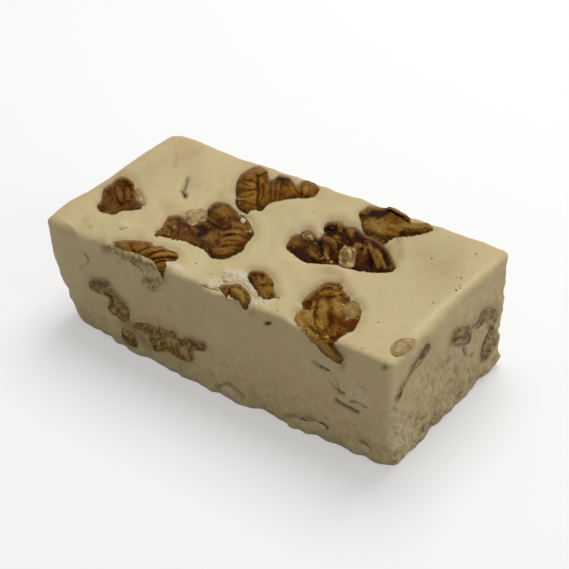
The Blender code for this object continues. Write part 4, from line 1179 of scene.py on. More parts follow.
# ---- Small walnut bit on the front edge --------------------------------------
# A small golden bit of kernel that hangs over the front edge.  It is bedded in sugary fudge, which
# broke away in front of it.
walnut_bit_edge = laid_piece(
    "walnut_bit_edge", outline=(
        -17.2, -0.7, -16, 0.1, -14.7, -0.1, -12.1, 0.3, -10.7, -0.7, -9.7, -1.7, -8.9, -3.3,
        -8.9, -5.2, -9.3, -7, -10.7, -7, -11.7, -5.7, -12.1, -4.5, -13.1, -4.5, -14.2, -3.8,
        -15, -4.4, -16, -3.3, -16.8, -2,
    ),
    node="nut_bit_edge", softness=0.4, roughness=(0.26, 0.14), seed=10.0,
    folds=((-14.6, -1.2, -14.7, -3.3, 0.32, -0.6, -1.1),),
    relief=((-12.9, -1.7, -10.7, -4.1, 0.8, 0.4), (-16.6, -1.5, -15.5, -2.8, 0.48, 0.3)),
    tone=(
        (-12.9, -2, -10.2, -5.2, 0.85, 0.6), (-17.4, -1.7, -15, -3.8, 0.34, -1.4),
        (-9.4, -4.1, -9.3, -6, 0.27, -0.6),
    ),
    red=((-16, -0.9, -15.2, -1.5, 0.66, 0.5),),
    pale=(
        (-13.1, -0.5, -12.1, -0.4, 0.37, 0.8), (-11.1, -0.8, 0.34, 0.7), (-13.1, -1.5, 0.27, 0.4),
    ),
)
skin_bit_edge = walnut_finish("skin_bit_edge", (62, 35, 0), (112, 77, 15), (152, 116, 46))
keep(walnut_bit_edge, skin_bit_edge, "walnut_brown", "nut_bit_edge")


# ---- Walnut at the front edge, right -----------------------------------------
# Half a kernel: layered flakes at its top, a tan lobe at its left, a red glossy flank at its right
# and a tail that runs down the front.  Its underside is set into the edge of the bar.
walnut_front_right = laid_piece(
    "walnut_front_right", outline=(
        12.1, 0.8, 13.6, 0.8, 15, 0.4, 15.6, -0.7, 15.8, -1.7, 17.4, -3.3, 17.5, -4.4, 19.5, -5.4,
        20.3, -6.5, 20.3, -7.8, 19.9, -9.4, 18.7, -11.7, 17.9, -12.5, 15.5, -13.5, 13.3, -15.6,
        13.5, -16.6, 15.5, -19.7, 15.2, -20.8, 14.4, -21.2, 10.2, -18.3, 8.3, -16, 7, -15.2,
        3, -9.9, 2.8, -8.6, 3.3, -7.4, 4.4, -6.8, 4.9, -6, 4.6, -4.9, 5.2, -3.8, 6, -2.9, 10.5, 0.5,
    ),
    node="nut_front_right", softness=0.5, roughness=(0.24, 0.14), seed=12.0,
    folds=(
        (9.7, -0.5, 12.1, 0.1, 14.4, -0.4, 0.21, -0.35, -0.55),
        (9.4, -1.6, 11.5, -0.9, 13.4, -1.7, 0.21, -0.35, -0.55),
        (11.8, -2.5, 14.2, -1.7, 15.2, -0.7, 0.21, -0.35, -0.5),
        (10.5, -3.8, 15.8, -2.5, 0.24, -0.3, -0.4),
        (8.9, -6, 7.7, -8.3, 8.3, -10.5, 0.29, -0.5, -0.55),
        (5.2, -4.9, 6.5, -4.9, 0.53, -0.4, -1.6),
    ),
    relief=(
        (5.2, -6.2, 6.8, -6.5, 8.3, -5.7, 0.32, -0.6), (4.9, -8.9, 6.5, -8.3, 1.19, 0.6),
        (7.8, -4.9, 7.2, -7.3, 7.8, -9.4, 9.7, -11.5, 0.48, 0.5), (17.1, -7.3, 1.46, 0.6),
        (15.2, -7.3, 15.5, -8.9, 17.1, -9.7, 18.9, -9.1, 0.32, -0.5),
        (11.5, -7.3, 12.3, -9.4, 11.8, -11.5, 0.34, -0.35),
        (10.2, -8.9, 11, -12.1, 12.1, -14.2, 0.32, -0.35), (16.3, -10.5, 1.19, 0.3),
        (7, -11.8, 9.1, -13.9, 10.7, -16, 0.32, -0.35),
        (9.9, -15.8, 12.1, -17.4, 14.2, -19.5, 0.69, 0.35),
    ),
    tone=(
        (10.2, -11.5, 1.19, 0.75), (8.9, -7.3, 0.8, 0.45), (11, -0.4, 13.1, -0.8, 0.48, 0.5),
        (7.8, -3.3, 9.4, -4.1, 0.9, 0.15), (10.5, -4.9, 13.6, -4.9, 1.06, 0.1),
        (16.3, -4.1, 17.4, -3.8, 0.42, -1.4), (4.1, -8.1, 6.2, -9.1, 1.22, 0.9),
        (4.6, -7, 6.5, -6.9, 0.32, 0.5), (6, -10.5, 7.6, -11.3, 0.8, 0.6),
        (8, -5.2, 7.2, -7, 0.27, 0.6), (12.1, -7.6, 11.8, -9.9, 0.8, -0.5),
        (13.6, -8.9, 16.3, -10.7, 18.4, -10.2, 0.9, -1.1), (14.7, -12.9, 12.6, -14.2, 0.64, -0.4),
        (10.2, -12.1, 11, -14.2, 0.37, -0.5), (7.8, -12.9, 9.1, -14.4, 0.64, 0.5),
        (10.5, -16, 13.1, -18.2, 0.8, 0.3), (8.6, -16.3, 10.2, -18.2, 12.1, -19.5, 0.32, -0.8),
        (13.6, -15.5, 12.1, -16.3, 0.37, -0.5), (3.8, -9.7, 8.6, -15, 1.11, 1.3),
        (11, -14.7, 1.06, 0.9),
    ),
    red=(
        (7.6, -3.3, 9.4, -3.6, 1.06, 0.6), (11.5, -0.1, 12.1, -2, 1.06, 0.3),
        (12.1, -8.3, 13.1, -11, 1.33, 0.6), (14.7, -9.9, 18.4, -10.5, 1.33, 1.0),
        (14.2, -13.1, 1.06, 0.6), (5.7, -4.6, 0.8, 0.5),
    ),
    pale=(
        (4.4, -10.2, 7.3, -13.4, 0.64, 0.45), (16.3, -6.5, 17.6, -7.3, 17.9, -8.3, 1.06, 1.15),
        (16.8, -8.9, 0.69, 0.7), (4.6, -6.9, 6.2, -6.8, 0.24, 0.6), (12.6, -9.9, 0.32, 0.5),
        (13.4, -10.7, 0.27, 0.5), (12.9, -8.9, 0.19, 0.5), (10.5, -14, 11.3, -13.8, 0.32, 0.8),
        (13.4, -13.6, 0.29, 0.7), (11.4, -16.4, 0.29, 0.5), (13.9, -5.7, 0.27, 0.5),
        (15.2, -6, 0.27, 0.6), (14.7, -4.9, 0.24, 0.5), (10.5, -9.1, 0.21, 0.6),
        (8.1, -12.3, 8.9, -13.4, 0.21, 0.5),
    ),
    char=((5.4, -4.6, 6.2, -4.1, 0.42, 0.5), (16.6, -4.4, 0.32, 0.5)),
)
skin_front_right = walnut_finish("skin_front_right", (66, 30, 0), (130, 88, 16), (164, 128, 56))
keep(walnut_front_right, skin_front_right, "walnut_brown", "nut_front_right")


# ---- Colour of the fudge, and walnut seen through it -------------------------
# Fudge is sugar, butter and milk beaten until it grains: cream coloured, waxy and faintly cloudy.
# Against the walnuts it takes on their brown, with painted shade on their far side; where it has
# broken it is chalky white.  Painted shade darkens its cracks, pores and pits, and painted light
# brightens its rounded edges, the lips in front of the walnuts and its grains.
PASTE_SOCKETS = (("Place", "Vector"), ("Veil", "Float"), ("Dark", "Float"),
                 ("Light", "Float"), ("Sugar", "Float"), ("Grit", "Float"))
PASTE_FIELDS = ("Veil", "Dark", "Light", "Sugar", "Grit")
PASTE_YELLOW = shade(192, 175, 127)
PASTE_ROSE = shade(196, 174, 129)
PASTE_PALE = shade(205, 190, 148)
PASTE_GREY = shade(172, 158, 122)
VEIL_BROWN = shade(118, 84, 38)
SHADE_AND_SPOT_BROWN = shade(62, 44, 22)
SUGAR_WHITE = shade(207, 192, 163)
PALE_CREAM_AND_HIGHLIGHT = shade(214, 198, 158)
GRIT_PORE_SHADE = shade(112, 92, 52)
GRIT_WHITE_AND_GLINT = shade(218, 202, 164)
STREAKS = (1.0, 1.0, 0.75)

tree, given, result = new_group("fudge_paste", PASTE_SOCKETS, SHADER_SOCKETS)
broad = speckle(tree, given["Place"], 38.0, 2.0)
patch = speckle(tree, given["Place"], 230.0, 4.0)
fleck = speckle(tree, given["Place"], 640.0, 3.0)
grain = speckle(tree, given["Place"], 2400.0, 2.0)
paste = wash(tree, PASTE_YELLOW, PASTE_ROSE, broad, 0.38, 0.62)
paste = wash(tree, paste, PASTE_PALE, patch, 0.52, 0.78, 0.55)
paste = wash(tree, paste, PASTE_GREY, fleck, 0.60, 0.80, 0.35)
# The Light field: pale patches of fudge, and painted highlights along rounded edges, on the lips in
# front of the walnuts and on the crests of the end.
pale = scaled_by(tree, given["Light"], patch, 0.2, 0.7, 0.7, 1.0)
paste = blend_colours(tree, pale, paste, PALE_CREAM_AND_HIGHLIGHT)
cloudy = scaled_by(tree, given["Veil"], patch, 0.30, 0.65, 0.55, 1.0)
paste = wash(tree, paste, VEIL_BROWN, cloudy, 0.0, 1.0)
crumbly = reckon(tree, "MULTIPLY", reckon(tree, "ADD", grain, fleck), 0.35)
broken = reckon(tree, "ADD", given["Sugar"], crumbly)
paste = wash(tree, paste, SUGAR_WHITE, broken, 0.35, 1.05)
streaked = add_node(tree, "ShaderNodeVectorMath", {
    0: given["Place"], 1: STREAKS,
}, operation="MULTIPLY")
gritty = speckle(tree, streaked.outputs[0], 760.0, 4.0, 0.6)
# Grit: where the gritty noise is low the surface dips, and painted shade makes pores there; where
# it is high, pale grains carry painted glints.
pore_shade = scaled_by(tree, given["Grit"], gritty, 0.50, 0.36, 0.0, 0.8)
paste = blend_colours(tree, pore_shade, paste, GRIT_PORE_SHADE)
grain_glints = scaled_by(tree, given["Grit"], gritty, 0.53, 0.66, 0.0, 0.9)
paste = blend_colours(tree, grain_glints, paste, GRIT_WHITE_AND_GLINT)
# The Dark field: dark spots, and painted shade in cracks, creases, pores and pits.
shade_and_spots = scaled_by(tree, given["Dark"], fleck, 0.25, 0.55, 0.7, 1.1)
paste = wash(tree, paste, SHADE_AND_SPOT_BROWN, shade_and_spots, 0.0, 1.0)
tree.links.new(paste, result["Color"])
tree.links.new(spread(tree, patch, 0.3, 0.7, 0.44, 0.58), result["Roughness"])
relief = scaled_by(tree, grain, given["Sugar"], 0.0, 1.0, 0.35, 1.6)
relief = reckon(tree, "ADD", relief, reckon(tree, "MULTIPLY", fleck, 0.5))
rugged = reckon(tree, "MULTIPLY", given["Grit"], 5.0)
relief = reckon(tree, "ADD", relief, reckon(tree, "MULTIPLY", gritty, rugged))
tree.links.new(relief, result["Height"])
fudge_paste = tree
WAX_DEPTH = 0.0016
WAX_COLOUR_DEPTHS = (1.0, 0.62, 0.32)


def waxy(tree, colour, roughness, normal, glow=0.2):
    """The fudge's surface: satin, with light that passes a little way in."""
    shader = add_node(tree, "ShaderNodeBsdfPrincipled", {
        "Base Color": colour, "Roughness": roughness, "Normal": normal,
        "Subsurface Weight": glow, "Subsurface Radius": WAX_COLOUR_DEPTHS,
        "Subsurface Scale": WAX_DEPTH, "Specular IOR Level": 0.22,
    })
    return shader.outputs[0]


def veiled_finish(name, *browns):
    """Walnut under a film of fudge: clear in the middle, gone into the cream at its rim."""
    made, tree, surface = new_material(name)
    skin = skin_node(tree, *browns)
    paste = with_fields(tree, fudge_paste, (), Veil=0.45)
    cloud = speckle(tree, add_node(tree, "ShaderNodeTexCoord").outputs["Object"], 520.0, 3.0)
    film = reckon(tree, "ADD", read_field(tree, "film"), reckon(tree, "MULTIPLY", cloud, 0.6))
    film = spread(tree, film, 0.45, 1.15, 0.05, 1.0)
    colour = blend_colours(tree, film, skin.outputs["Color"], paste.outputs["Color"])
    normal = bumped(tree, skin.outputs["Height"], 0.4, 0.0002)
    rough = reckon(tree, "MULTIPLY", paste.outputs["Roughness"], 0.8)
    tree.links.new(waxy(tree, colour, rough, normal, 0.12), surface)
    return made


# Crumbled fudge: the same paste, browner where it thins out on a walnut.
TOASTED = (0.92, 0.80, 0.46, 1.0)
crumb_finish, tree, surface = new_material("crumb_finish")
thin = reckon(tree, "MULTIPLY", read_field(tree, "film"), 0.6)
paste = with_fields(tree, fudge_paste, PASTE_FIELDS)
tree.links.new(reckon(tree, "ADD", read_field(tree, "veil"), thin), paste.inputs["Veil"])
toasted = blend_colours(tree, read_field(tree, "veil"), paste.outputs["Color"], TOASTED, "MULTIPLY")
normal = bumped(tree, paste.outputs["Height"], 0.6, 0.0003)
tree.links.new(waxy(tree, toasted, paste.outputs["Roughness"], normal), surface)

veiled_front = veiled_finish("veiled_front", (72, 46, 6), (132, 102, 34), (192, 164, 98))
veiled_end = veiled_finish("veiled_end", (78, 50, 8), (136, 108, 40), (184, 160, 96))


# ---- Hooked walnut in the front ----------------------------------------------
# A hooked piece of kernel just behind the cut face, grey-brown through a thin film of fudge, with
# a dark crease along its inner side.  The wall holds it all round.
walnut_hook = laid_piece(
    "walnut_hook", outline=(
        -51, 1.7, -47.8, 1.5, -46.5, 0.7, -45.7, -0.7, -42, -4.9, -40.9, -6.5, -40.4, -8.1,
        -40.7, -9.7, -41.7, -10.3, -43.3, -10.2, -46.2, -7.6, -47, -6.2, -46.9, -3.6, -50, -2.4,
        -51.8, -1.2, -52.1, 0.4,
    ),
    height=0.25, roughness=(0.34, 0.14), seed=13.0, film=0.6,
    folds=(
        (-47.3, -2.5, -46, -3.3, -45.5, -4.4, -45.8, -5.7, -46.8, -6.5, 0.37, -0.4, -1.9),
        (-46.2, -7, -43.1, -9.9, 0.27, -0.15, -0.9),
    ),
    relief=((-44.1, -4.1, -42.3, -7.3, 1.06, 0.15),),
    tone=(
        (-51.5, 0.4, -47, 0.1, 0.58, -0.6), (-50, -1.2, -47.8, -2, 0.53, 0.2),
        (-43.1, -4.9, -41.7, -7.6, 1.06, -0.35), (-45.7, -6.5, -43.9, -8.3, 0.19, 0.9),
    ),
)
keep(walnut_hook, veiled_front, "walnut_veiled", "nut_front_hook")


# ---- Small walnut low in the front -------------------------------------------
# A small piece of kernel between the hook and the band.  It lies flush in the wall, under a film
# of fudge that hides it towards its rim.
walnut_low = laid_piece(
    "walnut_low", outline=(
        -40.1, -9.9, -38.8, -9.3, -36.7, -9.5, -35.1, -10.6, -34.2, -12.1, -34.1, -13.8, -35.6, -14,
        -39.4, -12.3, -40.4, -11.3,
    ),
    height=0.35, roughness=(0.34, 0.14), seed=14.0, film=0.5,
    tone=((-38.8, -10.5, -36.4, -11, 0.53, -0.3), (-38, -11.8, -36.2, -12.1, 0.27, -0.4)),
)
keep(walnut_low, veiled_front, "walnut_veiled", "nut_front_low")


# ---- Lobed walnut low in the front -------------------------------------------
# A golden lobed piece of kernel with an arm to the right.  It lies flush in the wall, and its skin
# has half dissolved into the fudge round it.
walnut_band = laid_piece(
    "walnut_band", outline=(
        -36.2, -13.1, -35.1, -11.8, -34.1, -12.2, -33.5, -11, -33, -10.7, -31.9, -11.5,
        -29.3, -12.3, -27.7, -14.2, -26.6, -13.9, -25.3, -13.9, -22.9, -15, -21.6, -15.2,
        -20.7, -16.3, -20.7, -17.6, -22.1, -17.9, -23.5, -17.6, -24.1, -18, -24, -19.2,
        -24.2, -20.4, -25.8, -20.7, -29.3, -19.2, -30.9, -18, -34.6, -17.9, -35.6, -16.3,
        -36.2, -14.7,
    ),
    height=0.25, roughness=(0.42, 0.18), seed=15.0, film=0.5,
    folds=(
        (-35.9, -13.4, -34.8, -15, -34.1, -17.4, 0.27, -0.3, -1.0), (-32.2, -15.2, 0.64, 0.2, -0.9),
        (-30.3, -14.7, -26.6, -18.2, 1.06, 0.3, 0.35),
    ),
    tone=(
        (-33.5, -11.5, -33, -13.1, 0.27, -0.8), (-33, -15, -31.7, -14.2, 0.16, 0.6),
        (-34.8, -13.9, 0.32, 0.8), (-26.4, -18.4, -25.8, -20, 0.32, 0.9),
        (-27.4, -17.9, -26.6, -19.7, 0.53, -0.2),
        (-25, -15, -23.2, -16.6, -21.6, -17.4, 0.27, -1.2), (-23.2, -15.2, -21.3, -16, 0.27, -0.7),
        (-24.8, -16, 0.37, 0.6), (-28, -14.7, -26.4, -16.6, 0.24, -0.4),
        (-25.3, -18.4, -24.5, -20, 0.21, -0.8),
    ),
    red=((-28.8, -17.4, -26.6, -19.2, 1.06, 0.35),),
    pale=((-26.1, -18.9, 0.34, 0.4), (-34.3, -14.3, 0.24, 0.5)),
)
keep(walnut_band, veiled_front, "walnut_veiled", "nut_front_band")


# ---- Dark bit by the foot of the front ---------------------------------------
# A dark bit of kernel and skin just above the foot.  It is set flush in the wall, under a film of
# fudge that hides its edges.
walnut_base = laid_piece(
    "walnut_base", outline=(
        -43.6, -11.5, -42.5, -11.1, -40.1, -12.5, -39.1, -13.4, -38.3, -15, -38.3, -16.6,
        -39.6, -17, -41.5, -16.2, -42.8, -15, -43.6, -13.4,
    ),
    height=0.35, roughness=(0.34, 0.14), seed=16.0, film=0.5,
    folds=((-43.1, -12.9, -41.7, -14.7, 0.32, -0.2, -1.0),),
    tone=((-40.4, -16, -39.4, -16.3, 0.32, -0.6), (-42, -13.1, -40.9, -14.2, 0.32, 0.3)),
    red=((-40.1, -15.2, 0.8, 0.3),),
)
keep(walnut_base, veiled_front, "walnut_veiled", "nut_front_base")


# ---- Slanting walnut in the end ----------------------------------------------
# A brown piece of kernel that slants down the middle of the right end.  It was cut with the bar,
# so it is flush with that face, with a film of fudge over its rim.
walnut_end_middle = laid_piece(
    "walnut_end_middle", outline=(
        44.1, -16, 44.1, -14.2, 44.8, -12.7, 46, -11.5, 48.6, -10.5, 49.7, -11.4, 50.1, -12.9,
        50, -14.2, 49.2, -15.8, 47.7, -16.4, 46, -16.6,
    ),
    height=0.25, roughness=(0.34, 0.16), seed=17.0, film=0.5,
    folds=((46.2, -12.9, 47.8, -12.1, 0.69, 0.2, 0.1),),
    tone=(
        (44.7, -15, 45.7, -14.2, 46.8, -13.9, 0.32, -1.1),
        (48.6, -13.1, 49.3, -14.2, 48.9, -15.5, 0.32, -1.5), (46.5, -15.2, 47.8, -15, 0.53, 0.7),
        (45.2, -13.1, 0.42, -0.5),
    ),
    red=((48.1, -11.8, 0.8, 0.4),),
)
keep(walnut_end_middle, veiled_end, "walnut_veiled", "nut_end_middle")


# ---- Small walnut near the back of the end -----------------------------------
# A small bit of kernel, olive brown under its film of fudge.  It is flush with the right end and
# held by it all round.
walnut_end_high = laid_piece(
    "walnut_end_high", outline=(
        53.8, -6.2, 54.5, -7.6, 53.1, -10.7, 51.9, -11.9, 50.8, -12.1, 50, -11.3, 50.5, -9.4,
        51.3, -7.8, 52.5, -6.6,
    ),
    height=0.25, roughness=(0.30, 0.14), seed=18.0, film=0.5,
    tone=((51.3, -8.6, 50.6, -10.7, 0.32, -0.8),),
)
keep(walnut_end_high, veiled_end, "walnut_veiled", "nut_end_high")


# ---- Lobed walnut at the back of the end -------------------------------------
# Lobes of kernel at the edge between the end and the back, dark in their creases.  They are cut
# flush with the end, with a film of fudge over their rims.
walnut_end_edge = laid_piece(
    "walnut_end_edge", outline=(
        56.3, -6.5, 57, -7.8, 56.6, -9.7, 55.9, -11, 56.8, -13.9, 56.4, -15.8, 54.5, -19.2,
        53.4, -20.4, 52.2, -20.8, 51.5, -19.2, 51.8, -16.6, 52.3, -14.2, 53.4, -12.3, 53.9, -10.7,
        53.7, -8.9, 53.9, -7, 55, -6.2,
    ),
    height=0.25, roughness=(0.40, 0.18), seed=19.0, film=0.5,
    relief=((54.5, -9.9, 55.8, -11, 0.37, 0.3),),
    tone=(
        (53.4, -13.1, 52.6, -15.8, 52.6, -19.2, 0.48, -0.9), (53.4, -16.3, 53, -17.9, 0.16, 0.9),
        (54.5, -12.1, 55.5, -11, 0.32, -1.0), (54.5, -9.7, 55, -10.7, 0.32, 0.8),
        (55.5, -7.8, 0.64, -0.2), (55.8, -14.2, 0.64, 0.3),
    ),
    pale=((54.3, -10.2, 55.3, -9.4, 0.29, 0.5),),
)
keep(walnut_end_edge, veiled_end, "walnut_veiled", "nut_end_edge")


# ---- Sliver of walnut skin in the end ----------------------------------------
# A strip of purple-brown skin that runs down the end from near the top.  It has come off its
# kernel and lies flat in the cut face.
walnut_skin_sliver = laid_piece(
    "walnut_skin_sliver", outline=(
        29.7, -31.1, 29.4, -30.3, 30.2, -28.2, 32.7, -24.1, 33.7, -21.6, 35.1, -19.7, 37.2, -16,
        38.4, -15.5, 39, -16.3, 38.6, -17.6, 36.3, -20.9, 33.7, -23.9, 30.5, -30.9,
    ),
    height=0.15, roughness=(0.34, 0.18), seed=20.0, film=0.4,
    folds=((30.3, -29.8, 32.2, -26.9, 33.3, -24.5, 0.32, -0.25, -1.3),),
    tone=(
        (36.2, -18.7, 37, -16.8, 38.6, -16, 0.53, -1.1), (34.3, -21.6, 35.4, -20, 0.42, -0.4),
        (38, -17.9, 37, -20, 0.37, 0.3),
    ),
    red=((33.8, -22.7, 38, -16.8, 1.33, 0.35),),
    pale=((34.8, -21.6, 35.9, -20, 0.21, 1.2), (34.6, -22.4, 0.19, 1.0), (36.4, -19.7, 0.16, 0.7)),
)
keep(walnut_skin_sliver, veiled_end, "walnut_veiled", "nut_end_skin")


# ---- Crumbled fudge ----------------------------------------------------------
# Where the bar was cut or its top broke, the fudge crumbled: a rough rib with open pores below
# the front-left walnut, a sugary break at the front edge and flakes that lift off the walls.
def fill_fields(piece, **levels):
    """Fields that are the same all over a piece."""
    for name, level in levels.items():
        write_field(piece.data, name, np.full(len(piece.data.vertices), level))


crust = laid_piece(
    "crust", outline=(
        -47.2, 10.7, -45.5, 11, -43.9, 9.8, -42.3, 9.1, -40.5, 8.6, -38.4, 7.9, -36.7, 7.2,
        -35, 6.5, -34, 4.9, -33.3, 3.7, -32.7, 2.5, -32.2, 1.2, -32.5, -0.4, -33.3, -1.6, -34.6, -2,
        -35.9, -1.3, -37, -0.4, -37.5, 1.2, -37.5, 2.7, -38.6, 3.6, -39.9, 4.5, -41.5, 5.8,
        -43.1, 6.6, -44.7, 7.8, -46.2, 9, -47.2, 9.8,
    ),
    onto=(form_of(walnut_front_left),),
    height=0.45, softness=0.3, rim=0.1, roughness=(0.50, 0.26), seed=61.0,
    relief=(
        (-43.1, 8.3, -40.4, 7.0, -37.8, 5.8, -35.6, 4.4, 0.42, 0.4),
        (-41.2, 6.1, -39.9, 5.2, -38.6, 4.0, 0.48, -0.5), (-39.1, 6.9, -37.0, 6.0, 0.32, 0.25),
        (-44.9, 8.1, -43.9, 7.0, 0.37, -0.35), (-35.1, -0.1, -34.1, -0.4, 0.4, -0.3),
    ),
    # Painted shade in the rib's pores and grooves.
    dark=(
        (-40.9, 5.8, -39.9, 5.2, -38.7, 4.1, 0.45, 0.9), (-44.7, 8.0, -43.9, 7.0, 0.4, 0.8),
        (-38.0, 6.1, -36.4, 5.3, 0.24, 0.6), (-41.5, 8.2, -39.9, 7.3, 0.21, 0.45),
        (-37.2, 2.0, -37.1, 0.4, 0.34, 0.6), (-35.1, 0.9, -36.2, 1.2, 0.27, 0.5),
        (-34.8, -0.4, 0.29, 0.6), (-33.8, 1.7, -33.0, 0.1, 0.24, 0.5),
        (-35.6, 5.7, -34.3, 4.1, 0.24, 0.4),
    ),
    # Painted light along the tops of the ribs.
    light=(
        (-43.1, 8.7, -40.4, 7.6, -38.0, 6.9, -35.9, 6.0, 0.35, 0.9),
        (-35.4, 4.6, -34.0, 2.3, 0.4, 0.8), (-41.0, 6.6, -39.0, 5.6, -37.6, 4.2, 0.27, 0.8),
        (-36.6, 3.2, -35.2, 1.0, 0.3, 0.8), (-34.3, -0.9, -35.6, -0.4, 0.4, 0.5),
        (-39.4, 7.4, -37.8, 7.2, 0.32, 0.7),
    ),
    veil=(
        (-47.0, 10.6, -40.4, 7.0, -35.0, 2.5, -34.5, -1.0, 3, 0.32),
        (-42.5, 7.6, -39.9, 6.0, 1.33, 0.3), (-45.7, 9.9, -44.1, 8.6, 1.06, 0.12),
        (-36.7, 3.8, -35.6, 1.2, 1.33, 0.15),
    ),
)
fill_fields(crust, grit=0.8)
keep(crust, crumb_finish, "fudge_cream")

# Each flake: its name, height, roughness, how white it is, how gritty it is and its outline.
FLAKES = (
    ("sugar_left", 0.35, 0.30, 0.75, 0.70, (
        -20.7, -0.4, -20, 0.8, -18.4, 1.5, -16.4, 1.1, -16.6, -0.1, -18.2, -1.1, -19.7, -1.1,
    )),
    ("sugar_middle", 0.55, 0.35, 1.00, 0.80, (
        -16, 1.1, -15.6, 2.4, -14.2, 2.9, -12.3, 3, -10.1, 2.8, -10.3, 1.6, -9, 0.1, -7.4, -2.5,
        -8.5, -2.7, -9.9, -0.8, -11.5, 0.5, -13.1, 0.8, -14.8, 0.4,
    )),
    ("sugar_right", 0.35, 0.25, 0.45, 0.50, (
        -9.3, -4, -8, -4.5, -6, -4.6, -3.8, -4, -2.3, -3.7, -3, -5.2, -5.4, -6, -7.8, -5.7,
    )),
    ("flake_corner", 0.35, 0.20, 0.30, 0.35, (
        17.4, -28.8, 18, -27.4, 19.5, -27, 21.1, -27.6, 22.1, -28.4, 21.9, -29.3, 22.9, -30.2,
        22.4, -31.3, 20.8, -31.9, 19.2, -31, 17.9, -30.1,
    )),
    ("flake_foot_left", 0.40, 0.22, 0.28, 0.35, (
        -17.2, -27.8, -16.3, -27, -14.7, -27, -13.1, -28.1, -12.6, -29.3, -13.6, -29.9,
        -15.2, -29.5, -16.7, -28.8,
    )),
    ("flake_foot_middle", 0.30, 0.22, 0.22, 0.35, (
        2, -35.4, 3.8, -35.4, 6, -36.3, 8.3, -36.2, 9.9, -37, 11.1, -38, 9.9, -39, 7.8, -38.6,
        5.4, -38.2, 3.3, -37,
    )),
    ("flake_foot_right", 0.35, 0.20, 0.28, 0.35, (
        19.5, -41.7, 20.8, -42, 22.1, -42.9, 22.9, -44.1, 21.6, -44.5, 20, -43.5,
    )),
    ("flake_below_walnut", 0.25, 0.15, 0.08, 0.25, (
        10.7, -23.2, 11.8, -22.9, 13.1, -24.2, 13.9, -25.8, 14.2, -27.4, 13.4, -27.2, 12.3, -25.8,
        11.3, -24.5,
    )),
    ("flake_left", 0.25, 0.15, 0.06, 0.25, (
        -55.3, 8.1, -53.9, 8.5, -52.6, 7.6, -52.1, 6.2, -53.1, 5, -54.5, 5.7, -55.3, 6.8,
    )),
)
flakes = []
for name, height, rough, white, gritty, outline in FLAKES:
    flake = laid_piece(name, outline=outline, height=height, softness=0.25,
                       roughness=(rough, 0.6 * rough), seed=67.0)
    fill_fields(flake, light=0.5 * white, sugar=white, grit=gritty)
    flakes.append(keep(flake, crumb_finish, "fudge_cream"))


# ---- The fudge ---------------------------------------------------------------
# The bar itself: it gives way where a walnut lies in it, is creased, cracked and broken in places,
# and turns grainy towards the foot.  Its marks are written as they are seen, like the walnuts'.

# How the fudge lies round each walnut: how far it sinks under it, how brown it is and how far.  The
# brown is walnut seen through the fudge and, on a walnut's far side, painted shade too.
BEDDING = (
    (walnut_left, 0.5, 0.45, 1.0),
    (walnut_middle, 0.5, 0.50, 1.1),
    (walnut_back, 0.5, 0.40, 0.8),
    (walnut_cluster, 2.4, 0.70, 1.5),
    (walnut_back_right, 0.5, 0.45, 0.9),
    (walnut_front_left, 0.5, 0.45, 0.8),
    (walnut_bit_right, 0.5, 0.60, 1.1),
    (walnut_bit_edge, 0.4, 0.35, 0.7),
    (walnut_front_right, 0.5, 0.70, 1.6),
    (walnut_hook, 0.5, 0.30, 0.8),
    (walnut_low, 0.5, 0.30, 0.8),
    (walnut_band, 0.5, 0.35, 0.8),
    (walnut_base, 0.5, 0.35, 0.8),
    (walnut_end_middle, 0.5, 0.35, 0.6),
    (walnut_end_high, 0.5, 0.30, 0.8),
    (walnut_end_edge, 0.5, 0.35, 0.8),
    (walnut_skin_sliver, 0.4, 0.35, 0.6),
    (crust, 0.5, 0.0, 0.5),
) + tuple((flake, 0.4, 0.0, 0.5) for flake in flakes)

